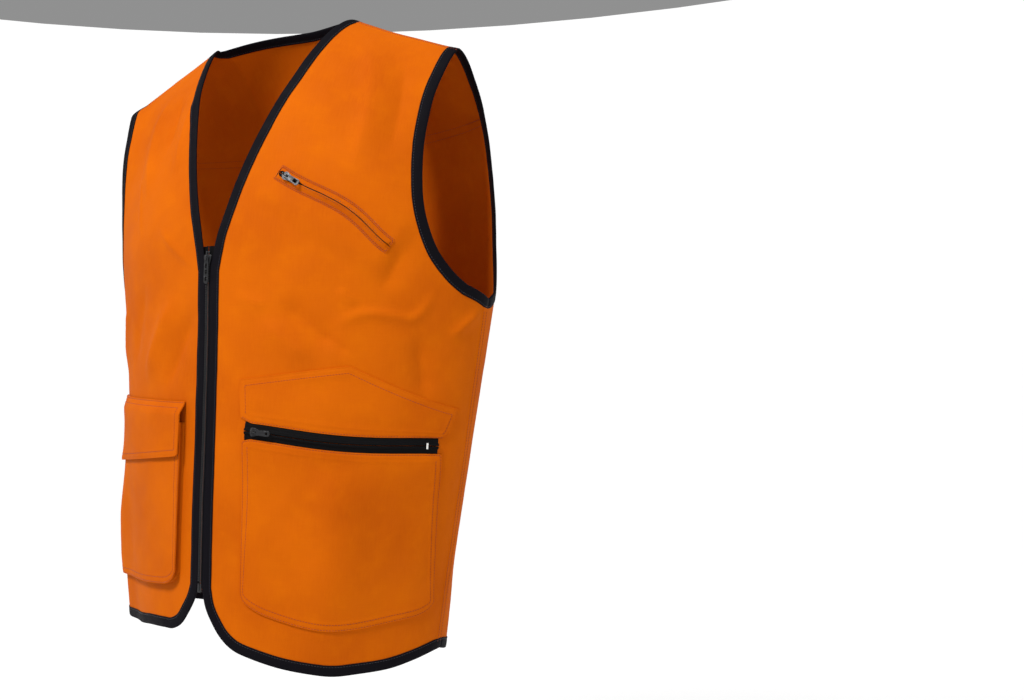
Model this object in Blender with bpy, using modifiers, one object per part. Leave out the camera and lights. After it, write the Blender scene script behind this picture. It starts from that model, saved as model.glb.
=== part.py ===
"""Sleeveless zip-front utility vest, hanging as worn, with bound edges, a slanted chest pocket, a zipped
patch pocket on the wearer's left and a flapped bellows pocket on the wearer's right.

Frame: metres, +Z up, the front faces -Y, +X is the wearer's left, and the origin lies midway between the
two neck points. Every cloth piece follows one body surface, given by an angle round the body and a height
parameter, so neighbouring pieces share their edges and keep a small gap.
"""

import math

import bmesh
import bpy
import numpy as np
from mathutils import Matrix

# Body surface.
NECK_X = 0.0948
TIP_X = 0.2206
TIP_Z = -0.045
NAPE_RISE = 0.050
NAPE_CURVE = 2.2
CHEST_Z = -0.240  # above this level the sections close onto the shoulder line
UNDERARM_Z = -0.297
SIDE_HEM_Z = -0.655
CHEST_HALF_WIDTH = 0.2425
HEM_HALF_WIDTH = 0.1954
UNDERARM_Y = 0.016
SIDE_HEM_Y = -0.001
SHOULDER_Y = -0.004
FRONT_Y = ((-0.700, -0.15443), (-0.450, -0.14398), (-0.300, -0.13771), (-0.262, -0.13613), (-0.150, -0.1330),
           (0.050, -0.1300))
BACK_Y = ((-0.700, 0.0990), (-0.600, 0.1060), (-0.420, 0.1210), (-0.295, 0.1370), (-0.180, 0.1420), (0.060, 0.1380))
FRONT_KEEL = 0.11  # the front is a little flatter than an ellipse: it falls away from a soft keel at the zip,
FRONT_FLAT = 0.20  # and again towards the side
FRONT_FALL = 0.45  # above the chest the front leans back more than the back leans forward
KEEL_ROUND = 0.10
SHOULDER_ROUND = 1.8  # exponent of the curve that closes front and back over the shoulder

# Cloth, bindings and gaps.
CLOTH = 0.0014
BINDING_WIDTH = 0.0112
BINDING_THICK = 0.0024
GAP = 0.0003

# Outer edges of the finished vest, each a list of (x, z) on the front or the back of the wearer's left half.
ZIP_EDGE_X = 0.0026
V_EDGE = ((ZIP_EDGE_X, -0.266), (0.0060, -0.250), (0.0110, -0.228), (0.0185, -0.203), (0.0280, -0.170), (0.0370, -0.141),
          (0.0465, -0.112), (0.0560, -0.084), (0.0640, -0.062), (0.0710, -0.040), (0.0790, -0.016))
FRONT_HEM = ((ZIP_EDGE_X, -0.592), (0.0075, -0.609), (0.0170, -0.6235), (0.0280, -0.6365), (0.0415, -0.6460),
             (0.0595, -0.6525), (0.0850, -0.6595), (0.1080, -0.6655), (0.1300, -0.6700), (0.1500, -0.6700),
             (0.1700, -0.6670), (0.1850, -0.6610))
FRONT_ARMHOLE = ((0.2335, -0.2855), (0.2250, -0.2715), (0.2165, -0.2510), (0.2101, -0.2275), (0.2058, -0.2028),
                 (0.2038, -0.1729), (0.2034, -0.1424), (0.2050, -0.1150), (0.2073, -0.0930), (0.2120, -0.0710))
BACK_ARMHOLE = ((0.2380, -0.2850), (0.2355, -0.2640), (0.2335, -0.2360), (0.2325, -0.2000), (0.2320, -0.1620),
                (0.2310, -0.1270), (0.2285, -0.0960), (0.2240, -0.0700))
BACK_HEM_DROP = 0.034
NAPE_Z = 0.0262
YOKE_SEAM_Z = -0.102

# Front zip, straight down the centre front.
ZIP_TOP_Z = -0.250
ZIP_BOTTOM_Z = -0.588
# Curved zips: both run along a circular arc, so that the slider can turn about its centre.
CHEST_ZIP_ENDS = ((0.0775, -0.1722), (0.1775, -0.2455))
POCKET_ZIP_ENDS = ((0.0530, -0.4305), (0.2070, -0.4445))
CURVED_ZIP_RISE = 0.0040  # least height of a curved zip's chain over the cloth's middle
TAPE_HALF = 0.0078
CHEST_TAPE_HALF = 0.0052

# Patch pocket on the wearer's left: the yoke's pointed top, and the bag's sides at its top and its bottom.
PATCH_LIFT = 0.0023
YOKE_X = (0.0405, 0.2190)
YOKE_PEAK = (0.1470, -0.3655)
YOKE_END_Z = (-0.3795, -0.4085)
BAG_TOP_X = (0.0455, 0.2110)
BAG_LOW_X = (0.0475, 0.1975)

# Cargo pocket on the wearer's right, as positive x.
CARGO_INNER_X = 0.0300
CARGO_OUTER_X = 0.2000
CARGO_TOP_Z = -0.425
CARGO_BOTTOM_Z = -0.596
CARGO_DEPTH = 0.0100
FLAP_TOP_Z = -0.403
FLAP_LIFT = 0.0130

MATERIALS = {
    "orange_cloth": (0.62, 0.13, 0.006),
    "binding_tape": (0.012, 0.010, 0.018),
    "zip_tape": (0.012, 0.012, 0.014),
    "zip_chain": (0.020, 0.020, 0.022),
    "slider_metal": (0.060, 0.060, 0.062),
    "white_thread": (0.750, 0.740, 0.700),
    "touch_closure": (0.450, 0.110, 0.020),
}


def clear_scene():
    for old in list(bpy.data.objects):
        bpy.data.objects.remove(old, do_unlink=True)


def make_collections():
    made = {}
    for name in ("vest", "cutters"):
        made[name] = bpy.data.collections.new(name)
        bpy.context.scene.collection.children.link(made[name])
    return made


def hermite(table, z):
    """A smooth curve through the (z, value) pairs of the table."""
    knots = np.array(table, float)
    slopes = np.gradient(knots[:, 1], knots[:, 0])
    z = np.clip(np.asarray(z, float), knots[0, 0], knots[-1, 0])
    i = np.clip(np.searchsorted(knots[:, 0], z) - 1, 0, len(knots) - 2)
    span = knots[i + 1, 0] - knots[i, 0]
    t = (z - knots[i, 0]) / span
    h = 2 * t**3 - 3 * t**2 + 1
    g = t**3 - 2 * t**2 + t
    k = t**3 - t**2
    return h * knots[i, 1] + (1 - h) * knots[i + 1, 1] + span * (g * slopes[i] + k * slopes[i + 1])


def side_line(z, at_underarm, at_hem):
    """A value that runs straight along the side seam, and goes on in that line."""
    return at_underarm + (at_underarm - at_hem) * (z - UNDERARM_Z) / (UNDERARM_Z - SIDE_HEM_Z)


def half_width(z):
    """Half the width of a level section: straight down the side seam, and constant above the chest."""
    slope = (CHEST_HALF_WIDTH - HEM_HALF_WIDTH) / (UNDERARM_Z - SIDE_HEM_Z)
    ease = CHEST_Z - UNDERARM_Z
    h = np.clip(z - UNDERARM_Z, 0, ease)
    below = side_line(np.minimum(z, UNDERARM_Z), CHEST_HALF_WIDTH, HEM_HALF_WIDTH)
    return below + slope * (h - h**2 / (2 * ease))


TOP_HALF_WIDTH = float(half_width(np.array(CHEST_Z)))


def side_y(z):
    """Where a section's widest point lies, front to back."""
    below = side_line(np.minimum(z, UNDERARM_Z), UNDERARM_Y, SIDE_HEM_Y)
    t = np.clip((z - UNDERARM_Z) / (TIP_Z - UNDERARM_Z), 0, 1)
    return below + (SHOULDER_Y - UNDERARM_Y) * t * t * (3 - 2 * t)


def profile():
    """(w, q, m): the curve over the shoulder, by equal steps of its length w."""
    angle = np.linspace(0, math.pi / 2, 2001)
    q = np.sin(angle) ** (2 / SHOULDER_ROUND)
    m = np.cos(angle) ** (2 / SHOULDER_ROUND)
    length = np.concatenate([[0], np.cumsum(np.hypot(0.22 * np.diff(q), 0.11 * np.diff(m)))])
    return length / length[-1], q, m, length[-1]


PROFILE_W, PROFILE_Q, PROFILE_M, RISE = profile()


def ridge_z(x, back):
    """Height of the shoulder line. At the back it climbs from the neck points to the nape."""
    x = np.abs(x)
    line = TIP_Z * (x - NECK_X) / (TIP_X - NECK_X)
    nape = NAPE_RISE * (1 - np.clip(x / NECK_X, 0, 1) ** NAPE_CURVE)
    return np.where(back & (x < NECK_X), nape, line)


def on_body(uv):
    """Points of the body surface. uv holds the angle round the body, 0 at centre front, a quarter turn at the
    wearer's left side and a half turn at centre back, and w, which is 0 at the chest and 1 on the shoulder."""
    uv = np.asarray(uv, float)
    angle, w = uv[..., 0], np.minimum(uv[..., 1], 1.0)
    upper = w > 0
    back = np.cos(angle) < 0
    q = np.interp(w, PROFILE_W, PROFILE_Q)
    m = np.where(upper, np.interp(w, PROFILE_W, PROFILE_M), 1.0)
    x_top = TOP_HALF_WIDTH * np.sin(angle)
    z = np.where(upper, CHEST_Z + q * (ridge_z(x_top, back) - CHEST_Z), CHEST_Z + w * RISE)
    x = half_width(z) * np.sin(angle)
    middle = side_y(z)
    side = np.abs(np.sin(angle))
    keel = FRONT_KEEL * (np.hypot(side, KEEL_ROUND) - KEEL_ROUND)
    shape = np.where(back, 1.0, 1.0 - keel - FRONT_FLAT * side**4)
    reach = np.where(back, (hermite(BACK_Y, z) - middle) * m, (middle - hermite(FRONT_Y, z)) * m * (1 - FRONT_FALL * (1 - m)))
    return np.stack([x, middle - np.cos(angle) * shape * reach, z], axis=-1)


def uv_of(x, z, back=False):
    """The surface parameters of the point at (x, z) on the front or the back, for x of either sign."""
    x, z = np.asarray(x, float), np.asarray(z, float)
    low = (z - CHEST_Z) / RISE
    q = np.clip((z - CHEST_Z) / (ridge_z(x, back) - CHEST_Z), 0, 1)
    w = np.where(z < CHEST_Z, low, np.interp(q, PROFILE_Q, PROFILE_W))
    width = np.where(z < CHEST_Z, half_width(z), TOP_HALF_WIDTH)
    angle = np.arcsin(np.clip(x / width, -1, 1))
    return np.stack([math.pi - angle if back else angle, w], axis=-1)


def slopes(uv):
    """The surface's two derivatives, taken inwards at the shoulder line."""
    uv = np.array(uv, float)
    uv[..., 1] = np.minimum(uv[..., 1], 1.0)
    step = 1e-4
    turn = np.array([step, 0.0])
    lift = np.array([0.0, step])
    along = (on_body(uv + turn) - on_body(uv - turn)) / (2 * step)
    room = np.minimum(1.0 - uv[..., 1:2], step)
    up = (on_body(uv + lift * room / step) - on_body(uv - lift)) / (room + step)
    return along, up


def outward(uv):
    along, up = slopes(uv)
    normal = np.cross(along, up)
    return normal / np.linalg.norm(normal, axis=-1, keepdims=True)


def lifted(uv, height):
    """Surface points moved outwards by height."""
    height = np.asarray(height, float)
    return on_body(uv) + outward(uv) * (height[..., None] if height.ndim else height)


def inset(edge, width, side):
    """The edge moved over the surface by width. side is +1 to move to the left of its direction, seen from outside."""
    moved = np.array(edge, float)
    steps = 4
    for _ in range(steps):
        points = on_body(moved)
        run = np.gradient(points, axis=0)
        run /= np.linalg.norm(run, axis=-1, keepdims=True)
        aim = side * np.cross(outward(moved), run) * width / steps
        along, up = slopes(moved)
        aa, ab, bb = (along * along).sum(-1), (along * up).sum(-1), (up * up).sum(-1)
        ra, rb = (along * aim).sum(-1), (up * aim).sum(-1)
        scale = aa * bb - ab * ab
        moved = moved + np.stack([(ra * bb - rb * ab) / scale, (rb * aa - ra * ab) / scale], axis=-1)
    return moved


def resample(uv, count, crowd=1.0):
    """The same line with count + 1 points, evenly spaced along its length, or closer to its end for crowd over 1."""
    uv = np.asarray(uv, float)
    lengths = np.linalg.norm(np.diff(on_body(uv), axis=0), axis=1)
    at = np.concatenate([[0], np.cumsum(lengths)])
    wanted = at[-1] * (1 - (1 - np.linspace(0, 1, count + 1)) ** crowd)
    return np.stack([np.interp(wanted, at, uv[:, 0]), np.interp(wanted, at, uv[:, 1])], axis=-1)


def spline(points, per_span=12):
    """A smooth line through the points, as a Catmull-Rom curve."""
    p = np.asarray(points, float)
    p = np.vstack([2 * p[0] - p[1], p, 2 * p[-1] - p[-2]])
    out = []
    for i in range(1, len(p) - 2):
        for t in np.arange(per_span) / per_span:
            out.append(0.5 * (2 * p[i] + (p[i + 1] - p[i - 1]) * t
                              + (2 * p[i - 1] - 5 * p[i] + 4 * p[i + 1] - p[i + 2]) * t**2
                              + (3 * p[i] - p[i - 1] - 3 * p[i + 1] + p[i + 2]) * t**3))
    out.append(p[-2])
    return np.array(out)


def line_uv(points, back=False):
    points = np.asarray(points, float)
    return uv_of(points[:, 0], points[:, 1], back)


def add_object(name, data, collection="vest"):
    made = bpy.data.objects.new(name, data)
    collections[collection].objects.link(made)
    return made


def thick_sheet(name, points, thickness, material):
    """A grid of points as an open surface, thickened equally to both sides."""
    rows, columns = points.shape[:2]
    faces = [
        (i * columns + j, i * columns + j + 1, (i + 1) * columns + j + 1, (i + 1) * columns + j)
        for i in range(rows - 1)
        for j in range(columns - 1)
    ]
    mesh = bpy.data.meshes.new(name)
    mesh.from_pydata([tuple(p) for p in points.reshape(-1, 3)], [], faces)
    mesh.materials.append(materials[material])
    made = add_object(name, mesh)
    solid = made.modifiers.new("thickness", "SOLIDIFY")
    solid.thickness = thickness
    solid.offset = 0
    solid.use_even_offset = True
    return made


def cloth(name, uv, material="orange_cloth", middle=0.0, thickness=CLOTH):
    """A piece of cloth over the surface, its middle at the given height above the body surface."""
    return thick_sheet(name, lifted(uv, middle), thickness, material)


def coons(bottom, top, left, right):
    """A grid of surface parameters between four edges that meet at their ends."""
    rows, columns = len(left), len(bottom)
    s = np.linspace(0, 1, columns)[None, :, None]
    t = np.linspace(0, 1, rows)[:, None, None]
    across = (1 - s) * left[:, None, :] + s * right[:, None, :]
    upward = (1 - t) * bottom[None, :, :] + t * top[None, :, :]
    corners = ((1 - s) * (1 - t) * bottom[0] + s * (1 - t) * bottom[-1]
               + (1 - s) * t * top[0] + s * t * top[-1])
    return across + upward - corners


def mirrored(uv):
    """The same line or grid on the wearer's right."""
    uv = np.array(uv, float)
    uv[..., 0] = -uv[..., 0]
    return uv


def sided(uv, side):
    return uv if side > 0 else mirrored(uv)


def even_x(x0, x1, z, count):
    """Values of x from x0 to x1 on the front, at equal turns round the body at height z."""
    width = float(half_width(np.array(z)))
    return width * np.sin(np.linspace(math.asin(x0 / width), math.asin(x1 / width), count + 1))


def front_edges():
    """The wearer's left front: its outer edges as surface lines, each with the number of rows its panel uses."""
    quarter = math.pi / 2
    hem_all = spline(FRONT_HEM + ((HEM_HALF_WIDTH, SIDE_HEM_Z),))
    hem_uv = line_uv(hem_all)
    hem_uv[-1] = (quarter, (SIDE_HEM_Z - CHEST_Z) / RISE)
    lengths = np.concatenate([[0], np.cumsum(np.linalg.norm(np.diff(on_body(hem_uv), axis=0), axis=1))])
    corner = int(np.searchsorted(lengths, 0.040))
    corner_part = hem_uv[: corner + 1][::-1]
    centre = line_uv([(ZIP_EDGE_X, z) for z in np.linspace(-0.590, V_EDGE[0][1], 30)])
    v_line = line_uv(spline(V_EDGE))
    v_top = np.array([[math.asin(NECK_X / TOP_HALF_WIDTH), 1.0]])
    v_uv = np.vstack([v_line, v_top])
    arm_line = line_uv(spline(FRONT_ARMHOLE))
    under = np.array([[quarter, (UNDERARM_Z - CHEST_Z) / RISE]])
    tip = np.array([[math.asin(TIP_X / TOP_HALF_WIDTH), 1.0]])
    arm_uv = np.vstack([under, arm_line, tip])
    return {
        "centre": resample(np.vstack([corner_part, centre[1:]]), FRONT_LOWER_ROWS),
        "v": resample(v_uv, FRONT_UPPER_ROWS, SHOULDER_CROWD),
        "hem": resample(hem_uv[corner:], FRONT_COLUMNS),
        "armhole": resample(arm_uv, FRONT_UPPER_ROWS, SHOULDER_CROWD),
    }


FRONT_LOWER_ROWS = 20
FRONT_UPPER_ROWS = 16
SHOULDER_CROWD = 1.6  # rows lie closer together where the cloth turns over the shoulder
FRONT_COLUMNS = 13
SEAM_HALF = 0.00060  # half the gap at a side seam
SHOULDER_HALF = 0.0011  # half the gap at a shoulder seam, where the two sides meet at an angle


def seam_hold(uv, low_angle=None, high_angle=None, high_w=None):
    """Keeps a line's parameters inside a seam, leaving half the gap to it."""
    uv = np.array(uv, float)
    if low_angle is not None:
        uv[..., 0] = np.maximum(uv[..., 0], low_angle)
    if high_angle is not None:
        uv[..., 0] = np.minimum(uv[..., 0], high_angle)
    if high_w is not None:
        uv[..., 1] = np.minimum(uv[..., 1], high_w)
    return uv


def build_fronts():
    """Both fronts: the cloth panel, the binding from the shoulder round to the side seam, and the armhole binding."""
    edges = front_edges()
    seam_angle = math.pi / 2 - SEAM_HALF / 0.13
    seam_w = 1 - SHOULDER_HALF / RISE
    whole_edge = np.vstack([edges["hem"][::-1], edges["centre"][1:], edges["v"][1:]])
    held = {}
    for key, width in (("outer", 0.0), ("tape", BINDING_WIDTH), ("panel", BINDING_WIDTH + GAP)):
        moved = seam_hold(inset(whole_edge, width, -1), high_angle=seam_angle, high_w=seam_w)
        moved[0, 0] = seam_angle
        moved[-1, 1] = seam_w
        arm = seam_hold(inset(edges["armhole"], width, 1), high_angle=seam_angle, high_w=seam_w)
        arm[0, 0] = seam_angle
        arm[-1, 1] = seam_w
        held[key] = (moved, arm)
    hem_count = len(edges["hem"])
    panel_edge, panel_arm = held["panel"]
    bottom = panel_edge[:hem_count][::-1]
    left = panel_edge[hem_count - 1:]
    side = np.linspace(bottom[-1], panel_arm[0], FRONT_LOWER_ROWS + 1)
    right = np.vstack([side, panel_arm[1:]])
    top = np.linspace(left[-1], right[-1], FRONT_COLUMNS + 1)
    panel = coons(bottom, top, left, right)
    for side, word in ((1, "left"), (-1, "right")):
        cloth(f"{word}_front_panel", sided(panel, side))
        for name, which in ((f"{word}_front_edge_binding", 0), (f"{word}_armhole_binding_front", 1)):
            strip = np.stack([held["outer"][which], held["tape"][which]], axis=1)
            cloth(name, sided(strip, side), "binding_tape", thickness=BINDING_THICK)


BACK_SIDE_ROWS = 13
BACK_ARM_ROWS = 8
YOKE_ROWS = 6
NECK_COLUMNS = 14
SHOULDER_COLUMNS = 6


def nape_edge():
    """The back neck edge, from the left neck point round the nape to the right one."""
    turn = np.linspace(0, math.pi, 61)
    x = NECK_X * np.cos(turn)
    nape_w = uv_of(0.0, NAPE_Z, back=True)[1]
    w = 1 - (1 - nape_w) * np.sin(turn) ** 1.5
    angle = math.pi - np.arcsin(x / TOP_HALF_WIDTH)
    return np.stack([angle, w], axis=-1)


def build_back():
    """The back: one panel below the yoke seam, the yoke above it, and the bindings."""
    quarter = math.pi / 2
    low, high = quarter + SEAM_HALF / 0.13, 3 * quarter - SEAM_HALF / 0.13
    seam_w = 1 - SHOULDER_HALF / RISE
    columns = 2 * SHOULDER_COLUMNS + NECK_COLUMNS
    angles = np.linspace(quarter, 3 * quarter, 90)
    drop = BACK_HEM_DROP * np.abs(np.cos(angles)) ** 0.85
    hem_line = np.stack([angles, (SIDE_HEM_Z - drop - CHEST_Z) / RISE], axis=-1)
    hem = resample(hem_line, columns)
    under = np.array([[quarter, (UNDERARM_Z - CHEST_Z) / RISE]])
    tip = np.array([[math.pi - math.asin(TIP_X / TOP_HALF_WIDTH), 1.0]])
    armhole = np.vstack([under, line_uv(spline(BACK_ARMHOLE), back=True), tip])
    armhole = resample(armhole, 90)
    seam_level = uv_of(0.18, YOKE_SEAM_Z, back=True)[1]
    split = int(np.argmin(np.abs(armhole[:, 1] - seam_level)))
    armhole = np.vstack([resample(armhole[: split + 1], BACK_ARM_ROWS), resample(armhole[split:], YOKE_ROWS, SHOULDER_CROWD)[1:]])
    neck = resample(nape_edge(), NECK_COLUMNS)

    def band(edge, side, width, lo=low, hi=high):
        return seam_hold(inset(edge, width, side), low_angle=lo, high_angle=hi, high_w=seam_w)

    widths = (0.0, BINDING_WIDTH, BINDING_WIDTH + GAP)
    hem_bands = [band(hem, 1, width) for width in widths]
    neck_bands = [band(neck, -1, width) for width in widths]
    arm_bands = [band(armhole, -1, width) for width in widths]
    for moved in hem_bands:
        moved[0, 0], moved[-1, 0] = low, high
    for moved in neck_bands:
        moved[0, 1] = moved[-1, 1] = seam_w
    for moved in arm_bands:
        moved[0, 0], moved[-1, 1] = low, seam_w

    def across(uv):
        """The same line on the wearer's right, still as angles past the centre back."""
        return np.stack([2 * math.pi - uv[..., 0], uv[..., 1]], axis=-1)

    cloth("back_hem_binding", np.stack(hem_bands[:2], axis=1), "binding_tape", thickness=BINDING_THICK)
    cloth("back_neck_binding", np.stack(neck_bands[:2], axis=1), "binding_tape", thickness=BINDING_THICK)
    strip = np.stack(arm_bands[:2], axis=1)
    cloth("left_armhole_binding_back", strip, "binding_tape", thickness=BINDING_THICK)
    cloth("right_armhole_binding_back", across(strip), "binding_tape", thickness=BINDING_THICK)

    arm = arm_bands[2]
    seam_left = arm[BACK_ARM_ROWS]
    seam_x, _, seam_z = on_body(seam_left)
    turns = np.linspace(seam_left[0], 2 * math.pi - seam_left[0], columns + 1)
    seam = uv_of(TOP_HALF_WIDTH * np.sin(turns), seam_z, back=True)
    seam[:, 0] = turns
    half_gap = np.array([0.0, 0.5 * GAP / RISE])
    side = np.linspace(hem_bands[2][0], arm[0], BACK_SIDE_ROWS + 1)
    edge = np.vstack([side, arm[1: BACK_ARM_ROWS + 1]])
    edge[-1] = seam_left - half_gap
    panel = coons(hem_bands[2], seam - half_gap, edge, across(edge))
    cloth("back_panel", panel)

    yoke_edge = np.array(arm[BACK_ARM_ROWS:])
    yoke_edge[0] = seam_left + half_gap
    neck_line = neck_bands[2]
    shoulder = np.linspace(yoke_edge[-1], neck_line[0], SHOULDER_COLUMNS + 1)
    top = np.vstack([shoulder, neck_line[1:], across(shoulder)[::-1][1:]])
    yoke = coons(seam + half_gap, top, yoke_edge, across(yoke_edge))
    cloth("back_yoke", yoke)


class Straight:
    """A zip's path: s along it, h across it towards the side, r outwards."""

    def __init__(self, start, end, across, out):
        self.start = np.array(start, float)
        run = np.array(end, float) - self.start
        self.length = float(np.linalg.norm(run))
        self.run = run / self.length
        across = np.array(across, float)
        self.across = across - self.run * np.dot(across, self.run)
        self.across /= np.linalg.norm(self.across)
        self.out = np.cross(self.run, self.across)
        if np.dot(self.out, out) < 0:
            self.out = -self.out

    def at(self, s, h, r):
        s, h, r = (np.asarray(v, float)[..., None] for v in np.broadcast_arrays(s, h, r))
        return self.start + s * self.run + h * self.across + r * self.out


class Arc:
    """A zip's path on a circle through three points: s along it, h across it, r outwards from its centre."""

    def __init__(self, first, second, third):
        a, b, c = (np.array(p, float) for p in (first, second, third))
        ab, ac = b - a, c - a
        axis = np.cross(ab, ac)
        self.centre = a + (np.cross(axis, ab) * (ac @ ac) + np.cross(ac, axis) * (ab @ ab)) / (2 * (axis @ axis))
        self.axis = axis / np.linalg.norm(axis)
        self.radius = float(np.linalg.norm(a - self.centre))
        self.first = (a - self.centre) / self.radius
        self.second = np.cross(self.axis, self.first)
        end = c - self.centre
        self.angle = float(np.arctan2(end @ self.second, end @ self.first))
        self.length = self.radius * self.angle

    def at(self, s, h, r):
        s, h, r = (np.asarray(v, float)[..., None] for v in np.broadcast_arrays(s, h, r))
        turn = s / self.radius
        spoke = np.cos(turn) * self.first + np.sin(turn) * self.second
        return self.centre + (self.radius + r) * spoke + h * self.axis


def arc_on_body(ends, rise, half):
    """A circular path near the straight line between two (x, z) points, in the plane that best follows the
    surface's normals there. No cloth within half of it on either side comes closer than rise."""
    (x0, z0), (x1, z1) = ends
    shares = np.linspace(0, 1, 41)
    line = uv_of(x0 + (x1 - x0) * shares, z0 + (z1 - z0) * shares)
    points = on_body(line)
    chord = points[-1] - points[0]
    chord /= np.linalg.norm(chord)
    normal = outward(line).mean(axis=0)
    normal -= chord * (normal @ chord)
    normal /= np.linalg.norm(normal)
    middle = 0.5 * (points[0] + points[-1])
    bulge = middle + normal * float(((points - middle) @ normal).max())
    offsets = np.linspace(-half, half, 9)
    side = np.cross(normal, chord)
    nearby = np.concatenate([points + side * h for h in offsets])
    nearby = on_body(uv_of(nearby[:, 0], nearby[:, 2]))
    height = rise
    for _ in range(4):
        path = Arc(points[0] + normal * height, bulge + normal * height, points[-1] + normal * height)
        spokes = nearby - path.centre
        spokes -= np.outer(spokes @ path.axis, path.axis)
        height += rise - float((path.radius - np.linalg.norm(spokes, axis=1)).min())
    return path


def bar(name, path, s, h, r, material, steps=1):
    """A strip that follows a path: s, h and r each give a low and a high value."""
    run = np.linspace(s[0], s[1], steps + 1)[:, None]
    sides = np.array([h[0], h[1]])[None, :]
    return thick_sheet(name, path.at(run, sides, 0.5 * (r[0] + r[1])), r[1] - r[0], material)


def frame_at(path, s, r=0.0):
    """Where s lies on a path, as a matrix whose axes run along it, across it and outwards."""
    here = path.at(s, 0.0, r)
    along = path.at(s + 1e-5, 0.0, r) - path.at(s - 1e-5, 0.0, r)
    out = path.at(s, 0.0, r + 1e-3) - here
    across = np.cross(out, along)
    axes = [v / np.linalg.norm(v) for v in (along, across, out)]
    return Matrix([[*(axis[k] for axis in axes), here[k]] for k in range(3)] + [[0, 0, 0, 1]])


def block(name, place, x, y, z, material=None, collection="vest"):
    """A box in the frame of a matrix, between a low and a high value on each axis."""
    mesh = bpy.data.meshes.new(name)
    shape = bmesh.new()
    bmesh.ops.create_cube(shape, size=1.0)
    middle = [0.5 * (low + high) for low, high in (x, y, z)]
    size = [high - low for low, high in (x, y, z)]
    bmesh.ops.transform(shape, matrix=Matrix.Translation(middle) @ Matrix.Diagonal((*size, 1.0)), verts=shape.verts)
    shape.to_mesh(mesh)
    shape.free()
    if material:
        mesh.materials.append(materials[material])
    made = add_object(name, mesh, collection)
    made.matrix_world = place
    return made


def combine(body, operation, name, place, x, y, z):
    """Joins a box to a body, or cuts it away."""
    tool = block(f"{body.name}_{name}", place, x, y, z, collection="cutters")
    tool.hide_render = True
    tool.display_type = "WIRE"
    step = body.modifiers.new(name, "BOOLEAN")
    step.operation = operation
    step.solver = "EXACT"
    step.object = tool


# Heights of a zip's pieces over the middle of its chain.
CHAIN_HALF = 0.0010
CHAIN_INNER = 0.0006
CHAIN_OUTER = 0.0022
TAPE_TOP = -0.0015
TAPE_BOTTOM = -0.0019
TOP_PLATE = (0.0015, 0.0024)
BOTTOM_PLATE = (-0.0032, -0.0023)
WEB_HALF = 0.00028
LUG_TOP = 0.0048
LUG_SHARE = 0.42  # where the lug starts along the slider
LUG_HALF = 0.0007
PULL = (0.0031, 0.0042)
PIN_BACK = 0.0013  # how far the pull's cross bar lies behind the lug


def slider(name, path, at, length, half):
    """A zip slider: two plates joined by a web that runs between the chain halves, and a lug on top."""
    place = frame_at(path, at + LUG_SHARE * length)
    ends = (-LUG_SHARE * length, (1 - LUG_SHARE) * length)
    body = block(name, place, ends, (-half, half), TOP_PLATE, "slider_metal")
    rounding = body.modifiers.new("rounding", "BEVEL")
    rounding.width = 0.0004
    rounding.segments = 1
    combine(body, "UNION", "foot", place, ends, (-half, half), BOTTOM_PLATE)
    inner = (ends[0] + 0.0006, ends[1] - 0.0006)
    combine(body, "UNION", "web", place, inner, (-WEB_HALF, WEB_HALF), (BOTTOM_PLATE[0] + 0.0003, TOP_PLATE[1] - 0.0003))
    combine(body, "UNION", "lug", place, (0.0, 0.0024), (-LUG_HALF, LUG_HALF), (TOP_PLATE[1] - 0.0003, LUG_TOP))
    return body


def pull_tab(name, path, lug_at, length, half, windows):
    """A pull whose origin is on its hinge: its first window goes over the slider's lug, and the others are listed."""
    height = 0.5 * (PULL[0] + PULL[1])
    place = frame_at(path, lug_at - PIN_BACK, height)
    thick = 0.5 * (PULL[1] - PULL[0])
    body = block(name, place, (-0.0006, length), (-half, half), (-thick, thick), "slider_metal")
    wide = LUG_HALF + 0.0003
    spans = [(0.0006, 0.0042, wide)] + [(start, end, 0.45 * half) for start, end in windows]
    for number, (start, end, reach) in enumerate(spans):
        combine(body, "DIFFERENCE", f"window_{number}", place, (start, end), (-reach, reach), (-2 * thick, 2 * thick))
    return body


def front_path():
    """The front zip's chain, down the centre front on the cloth's middle."""
    top = on_body(uv_of(0.0, ZIP_TOP_Z))
    bottom = on_body(uv_of(0.0, ZIP_BOTTOM_Z))
    return Straight(top, bottom, (1, 0, 0), (0, -1, 0))


def build_front_zip():
    path = front_path()
    length = path.length
    for side, word in ((1, "left"), (-1, "right")):
        near, far = sorted((side * CHAIN_INNER, side * CHAIN_OUTER))
        bar(f"front_zip_chain_{word}", path, (0.0, length), (near, far), (-CHAIN_HALF, CHAIN_HALF), "zip_chain", 12)
        near, far = sorted((side * CHAIN_INNER, side * 0.0120))
        bar(f"front_zip_tape_{word}", path, (-0.006, length + 0.002), (near, far),
            (TAPE_BOTTOM - 0.0002, TAPE_TOP - 0.0003), "zip_tape", 12)
        near, far = sorted((side * CHAIN_INNER, side * 0.0022))
        bar(f"front_zip_top_stop_{word}", path, (-0.0032, -0.0003), (near, far), (-0.0012, 0.0011), "slider_metal")
    bar("front_zip_pin", path, (length + 0.0003, length + 0.0090), (0.0004, 0.0022), (-0.0010, 0.0010), "zip_chain")
    bar("front_zip_box", path, (length + 0.0023, length + 0.0095), (-0.0022, -0.0001),
        (-0.0030, 0.0012), "zip_chain")
    slider("front_zip_slider", path, 0.0006, 0.0100, 0.0044)
    pull_tab("front_zip_pull", path, 0.0006 + LUG_SHARE * 0.0100, 0.0270, 0.0026,
             ((0.0062, 0.0112), (0.0130, 0.0180), (0.0198, 0.0248)))


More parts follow.
